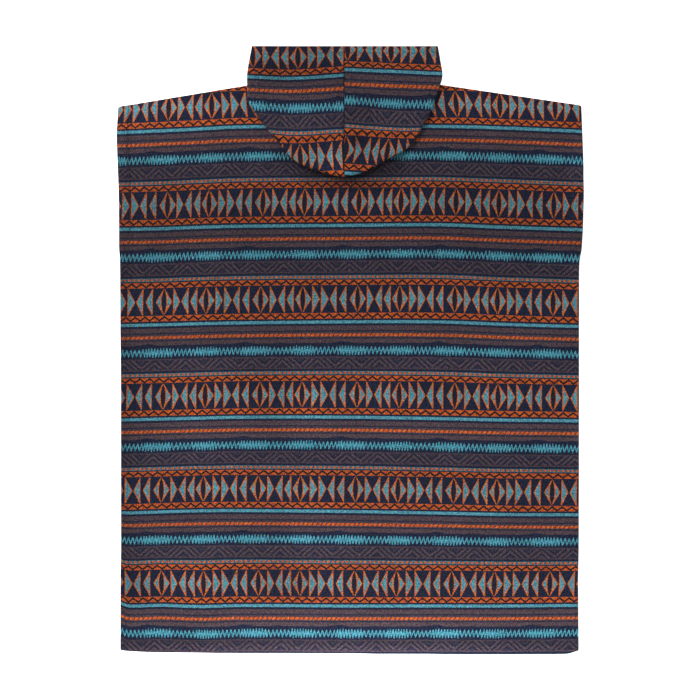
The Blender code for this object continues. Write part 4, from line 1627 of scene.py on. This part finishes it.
# ---- sewing ----
@dataclass
class StitchRow:
    """A row of lockstitches laid on the cloth, one small arched thread after another."""

    name: str
    paths: list[list[Vector]]       # lines over the cloth, in plan
    cloths: list[Piece]             # what they are sewn on
    pitch: float = 0.0034
    length: float = 0.0027
    thread: float = 0.00028         # radius of the thread
    arch: float = 0.00025
    taper: float = 0.45             # how much thinner the thread is at its ends
    lift: float = 0.4               # how far it stands proud of the cloth, in radii
    look_from: float = 0.1          # height from which the cloth is looked for

    def model_stitch(self) -> Piece:
        """One stitch along +X: a short thread whose ends dip into the cloth."""
        bpy.ops.object.select_all(action="DESELECT")
        bpy.ops.mesh.primitive_cylinder_add(
            vertices=6, radius=self.thread, depth=self.length, rotation=(0.0, math.pi / 2, 0.0)
        )
        stitch = bpy.context.object
        bpy.ops.object.transform_apply(location=False, rotation=True, scale=False)
        bpy.ops.object.mode_set(mode="EDIT")
        shape = bmesh.from_edit_mesh(stitch.data)
        for edge in shape.edges:
            edge.select_set(abs(edge.verts[0].co.x - edge.verts[1].co.x) > self.length / 2)
        bpy.ops.mesh.subdivide(number_cuts=3)
        shape = bmesh.from_edit_mesh(stitch.data)
        for vert in shape.verts:
            out = abs(vert.co.x) / (self.length / 2)
            thin = 1.0 - self.taper * out**3
            vert.co.y *= thin
            vert.co.z = vert.co.z * thin - self.arch * out**2
        bmesh.update_edit_mesh(stitch.data)
        bpy.ops.object.mode_set(mode="OBJECT")
        return stitch

    def places(self) -> list[Matrix]:
        """Where each stitch goes: on the cloth, turned along its row."""
        reader = bmesh.new()
        for cloth in self.cloths:
            reader.from_mesh(cloth.data)
        surface = BVHTree.FromBMesh(reader)
        places = []
        for path in self.paths:
            spots = smooth_line(path, max(int(lengths_along(path)[-1] / self.pitch), 2))
            for before, after in zip(spots, spots[1:]):
                middle = (before + after) / 2
                start = Vector((middle.x, middle.y, self.look_from))
                hit, up, _, _ = surface.ray_cast(start, Vector((0.0, 0.0, -1.0)))
                if hit is None:
                    continue
                along = Vector((after.x - before.x, after.y - before.y, 0.0)).normalized()
                side = up.cross(along).normalized()
                turn = Matrix((side.cross(up), side, up)).transposed().to_4x4()
                places.append(Matrix.Translation(hit + up * self.thread * self.lift) @ turn)
        reader.free()
        return places

    def build(self) -> Piece:
        """The whole row as one mesh."""
        stitch = self.model_stitch()
        points = [vert.co.copy() for vert in stitch.data.vertices]
        shapes = [list(face.vertices) for face in stitch.data.polygons]
        bpy.data.objects.remove(stitch, do_unlink=True)
        verts, faces = [], []
        for place in self.places():
            faces += [[len(verts) + i for i in shape] for shape in shapes]
            verts += [place @ point for point in points]
        return new_piece(self.name, verts, faces)


# ---- studio ----
def shine(light: Piece, along: Vector) -> None:
    """Turn a light so that it shines along a direction."""
    light.rotation_euler = along.to_track_quat("-Z", "Y").to_euler()


@dataclass(frozen=True)
class Softbox:
    """A square studio light."""

    name: str
    place: Triple
    aim: Triple
    size: float
    power: float

    def build(self) -> None:
        """Hang the light and turn it to its aim."""
        light = link(self.name, bpy.data.lights.new(self.name, "AREA"))
        light.data.size = self.size
        light.data.energy = self.power
        light.location = self.place
        shine(light, Vector(self.aim) - Vector(self.place))


@dataclass(frozen=True)
class Studio:
    """The camera straight above, a white floor and soft light."""

    view_width: float = 1.330       # what the picture spans at the floor
    camera_at: Triple = (-0.0005, 0.0007, 4.0)
    sensor: float = 36.0
    floor_size: float = 14.0
    floor_z: float = -0.0002
    floor_colour: Colour = (0.93, 0.93, 0.93, 1.0)
    floor_roughness: float = 0.9
    sky: float = 0.235
    glow: float = 0.90              # light that the floor gives off itself
    key_from: Triple = (-0.48, 0.86, 0.60)
    key_power: float = 2.70
    key_angle: float = math.radians(14.0)
    boxes: tuple[Softbox, ...] = (
        Softbox("hem_softbox", (0.02, -0.78, 0.60), (0.0, -0.4, 0.0), 0.5, 7.5),
        Softbox("left_softbox", (-0.75, 0.60, 0.35), (-0.36, 0.36, 0.0), 0.25, 3.2),
        Softbox("right_softbox", (0.62, 0.78, 0.32), (0.26, 0.38, 0.0), 0.25, 1.2),
    )

    def camera(self) -> None:
        """Look straight down on the middle of the garment."""
        camera = link("camera", bpy.data.cameras.new("camera"))
        camera.data.sensor_width = self.sensor
        camera.data.lens = self.sensor * self.camera_at[2] / self.view_width
        camera.location = self.camera_at
        bpy.context.scene.camera = camera

    def floor(self) -> None:
        """A wide white floor under the garment."""
        bpy.ops.object.select_all(action="DESELECT")
        bpy.ops.mesh.primitive_plane_add(size=self.floor_size, location=(0.0, 0.0, self.floor_z))
        floor = bpy.context.object
        floor.name = "floor"
        material, graph, shader = new_material("White floor")
        graph.feed(shader, {
            "Base Color": self.floor_colour,
            "Roughness": self.floor_roughness,
            "Specular IOR Level": 0.0,
            "Emission Color": WHITE,
            "Emission Strength": self.glow,
        })
        floor.data.materials.append(material)

    def light(self) -> None:
        """An even pale sky, white where the camera sees it, the key light and the softboxes."""
        world = bpy.data.worlds.new("sky")
        world.use_nodes = True
        graph = Graph(world.node_tree)
        seen = graph.read("ShaderNodeLightPath", "Is Camera Ray")
        strength = seen.ranged(1.0 - self.sky, self.sky)
        graph.feed(world.node_tree.nodes["Background"], {"Strength": strength, "Color": WHITE})
        bpy.context.scene.world = world
        key = link("key_light", bpy.data.lights.new("key_light", "SUN"))
        key.data.energy = self.key_power
        key.data.angle = self.key_angle
        shine(key, -Vector(self.key_from))
        for box in self.boxes:
            box.build()

    def build(self) -> None:
        """Set up the whole studio."""
        self.camera()
        self.floor()
        self.light()
        view = bpy.context.scene.view_settings
        view.view_transform = "Standard"
        view.look = "None"


# ---- garment ----
LEFT_LENS_X = -0.1786               # middle of a whole lens on each half of the hood
RIGHT_LENS_X = -0.0061
LEFT_OUTLINE = (
    # y, distance from the seam
    (0.5775, 0.1758),
    (0.5277, 0.1844),
    (0.5011, 0.1845),
    (0.4745, 0.1832),
    (0.4432, 0.1636),
    (0.4175, 0.1446),
    (0.3871, 0.1199),
    (0.3594, 0.0943),
    (0.3442, 0.0610),
    (0.3330, 0.0268),
    (0.3284, 0.0),
)
RIGHT_OUTLINE = (
    (0.5775, 0.1776),
    (0.5505, 0.1822),
    (0.5201, 0.1862),
    (0.4960, 0.1790),
    (0.4793, 0.1735),
    (0.4517, 0.1639),
    (0.4213, 0.1468),
    (0.3947, 0.1301),
    (0.3776, 0.1119),
    (0.3636, 0.0834),
    (0.3510, 0.0625),
    (0.3385, 0.0397),
    (0.3317, 0.0150),
    (0.3284, 0.0),
)
LEFT_MARKS = (
    # mm down the print, then its height beside the seam, half way and at the outline
    (-24.1, 0.5618, 0.5549, 0.5596),
    (1.7, 0.5383, 0.5317, 0.5353),
    (18.5, 0.5211, 0.5152, 0.5185),
    (43.4, 0.4960, 0.4908, 0.4938),
    (72.8, 0.4609, 0.4582, 0.4643),
    (87.3, 0.4470, 0.4426, 0.4480),
    (108.0, 0.4235, 0.4191, 0.4257),
    (115.2, 0.4157, 0.4110, 0.4203),
    (125.6, 0.4058, 0.4005, 0.4096),
    (131.5, 0.3964, 0.3906, 0.3962),
    (182.5, 0.3411, 0.3392, 0.3422),
)
LEFT_SLIDES = (
    (0.556, -4.2, 1.1, 7.3),
    (0.390, 0.3, -4.8, -7.0),
    (0.371, -0.7, -4.2, -6.0),
    (0.346, -2.5, -7.0, -9.5),
)
RIGHT_MARKS = (
    (-24.1, 0.5715, 0.5672, 0.5690),
    (1.7, 0.5484, 0.5436, 0.5410),
    (18.5, 0.5321, 0.5283, 0.5251),
    (43.4, 0.5045, 0.5004, 0.4983),
    (72.8, 0.4731, 0.4664, 0.4651),
    (87.3, 0.4599, 0.4513, 0.4490),
    (108.0, 0.4319, 0.4251, 0.4260),
    (115.2, 0.4256, 0.4191, 0.4188),
    (125.6, 0.4157, 0.4094, 0.4087),
    (131.5, 0.4061, 0.4005, 0.3998),
    (182.5, 0.3542, 0.3481, 0.3461),
    (199.3, 0.3363, 0.3311, 0.3291),
)
RIGHT_SLIDES = (
    (0.556, -0.8, -4.2, -7.0),
    (0.402, 1.5, 0.0, 1.0),
    (0.383, 0.6, 2.6, 3.0),
    (0.358, 6.0, 7.0, 8.0),
)


@dataclass
class Poncho:
    """The whole garment: two panels, two halves of the hood and the sewing on them."""

    body: BodyShape = field(default_factory=BodyShape)
    front_step: float = 0.013       # distance between the points of each panel
    back_step: float = 0.0062
    peek_side: float = 0.0010       # how far the front shows past the back
    peek_hem: float = 0.0015
    armhole_top: float = 0.46       # upper end of the armholes' stitching
    # places across of the hood's stitching, on each half
    hood_edge: Table = ((-0.184, -0.095, -0.0125), (-0.0100, 0.080, 0.164))
    pieces: dict[str, Piece] = field(default_factory=dict)

    def dress(self, piece: Piece, finishes: Sequence[bpy.types.Material]) -> None:
        """Give a piece its finishes and let it ride on the garment's body."""
        for finish in finishes:
            piece.data.materials.append(finish)
        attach(piece, BODY)
        self.pieces[piece.name] = piece
        LOG.info("%s: %d faces", piece.name, len(piece.data.polygons))

    def lay_panels(self, finishes: Sequence[bpy.types.Material]) -> None:
        """Lay the front panel on the surface and the back panel on it."""
        body = self.body
        front = BodyPanel("front_panel_cloth", Facing.DOWN, body.front_drop, 0.0, self.front_step, False,
                          peek_side=self.peek_side, peek_hem=self.peek_hem).build()
        back = BodyPanel("back_panel_cloth", Facing.UP, body.back_drop, body.cloth.layer, self.back_step,
                         True).build()
        self.dress(front, finishes)
        self.dress(back, finishes)
        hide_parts("front_panel")
        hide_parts("back_panel")

    def fold_hood(self, finishes: Sequence[bpy.types.Material]) -> None:
        """Fold the two halves of the hood over the upper back."""
        left = HoodPrint(Side.LEFT, LEFT_LENS_X, LEFT_MARKS, LEFT_SLIDES)
        right = HoodPrint(Side.RIGHT, RIGHT_LENS_X, RIGHT_MARKS, RIGHT_SLIDES)
        for node, outline, lay in (("hood_left", LEFT_OUTLINE, left), ("hood_right", RIGHT_OUTLINE, right)):
            half = HoodHalf(f"{node}_cloth", lay.side, outline, lay).build()
            self.dress(half, finishes)
            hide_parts(node)

    def sew(self, finish: bpy.types.Material) -> None:
        """Stitch the hems of the body and of the hood."""
        body, inset = self.body, self.body.cloth.stitch_in
        back = [self.pieces["back_panel_cloth"]]
        hem = [Vector((x, y + inset)) for x, y in body.hem]
        self.dress(StitchRow("hem_stitching", [hem], back).build(), [finish])
        for name, column, inward in (("left", 1, 1.0), ("right", 2, -1.0)):
            path = [Vector((row[column] + inward * inset, row[0])) for row in body.sides
                    if body.armhole_y < row[0] < self.armhole_top]
            row = StitchRow(f"armhole_stitching_{name}", [path], back).build()
            self.dress(row, [finish])
        halves = [self.pieces["hood_left_cloth"], self.pieces["hood_right_cloth"]]
        y = HoodHalf.top_y - HoodHalf.hem_in
        edge = [[Vector((x, y)) for x in across] for across in self.hood_edge]
        self.dress(StitchRow("hood_stitching", edge, halves).build(), [finish])

    def build(self) -> None:
        """Make the whole garment."""
        cloth = [PrintedVelour().make(), LoopTerry().make()]
        self.lay_panels(cloth)
        self.fold_hood(cloth)
        self.sew(SewingThread().make())


def write_size() -> None:
    """Bring the placements of every object up to date."""
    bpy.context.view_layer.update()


def main() -> None:
    """Set up the studio and dress the garment."""
    logging.basicConfig(level=logging.INFO, format="%(name)s: %(message)s")
    Studio().build()
    Poncho().build()
    write_size()


if __name__ == "__main__":
    main()
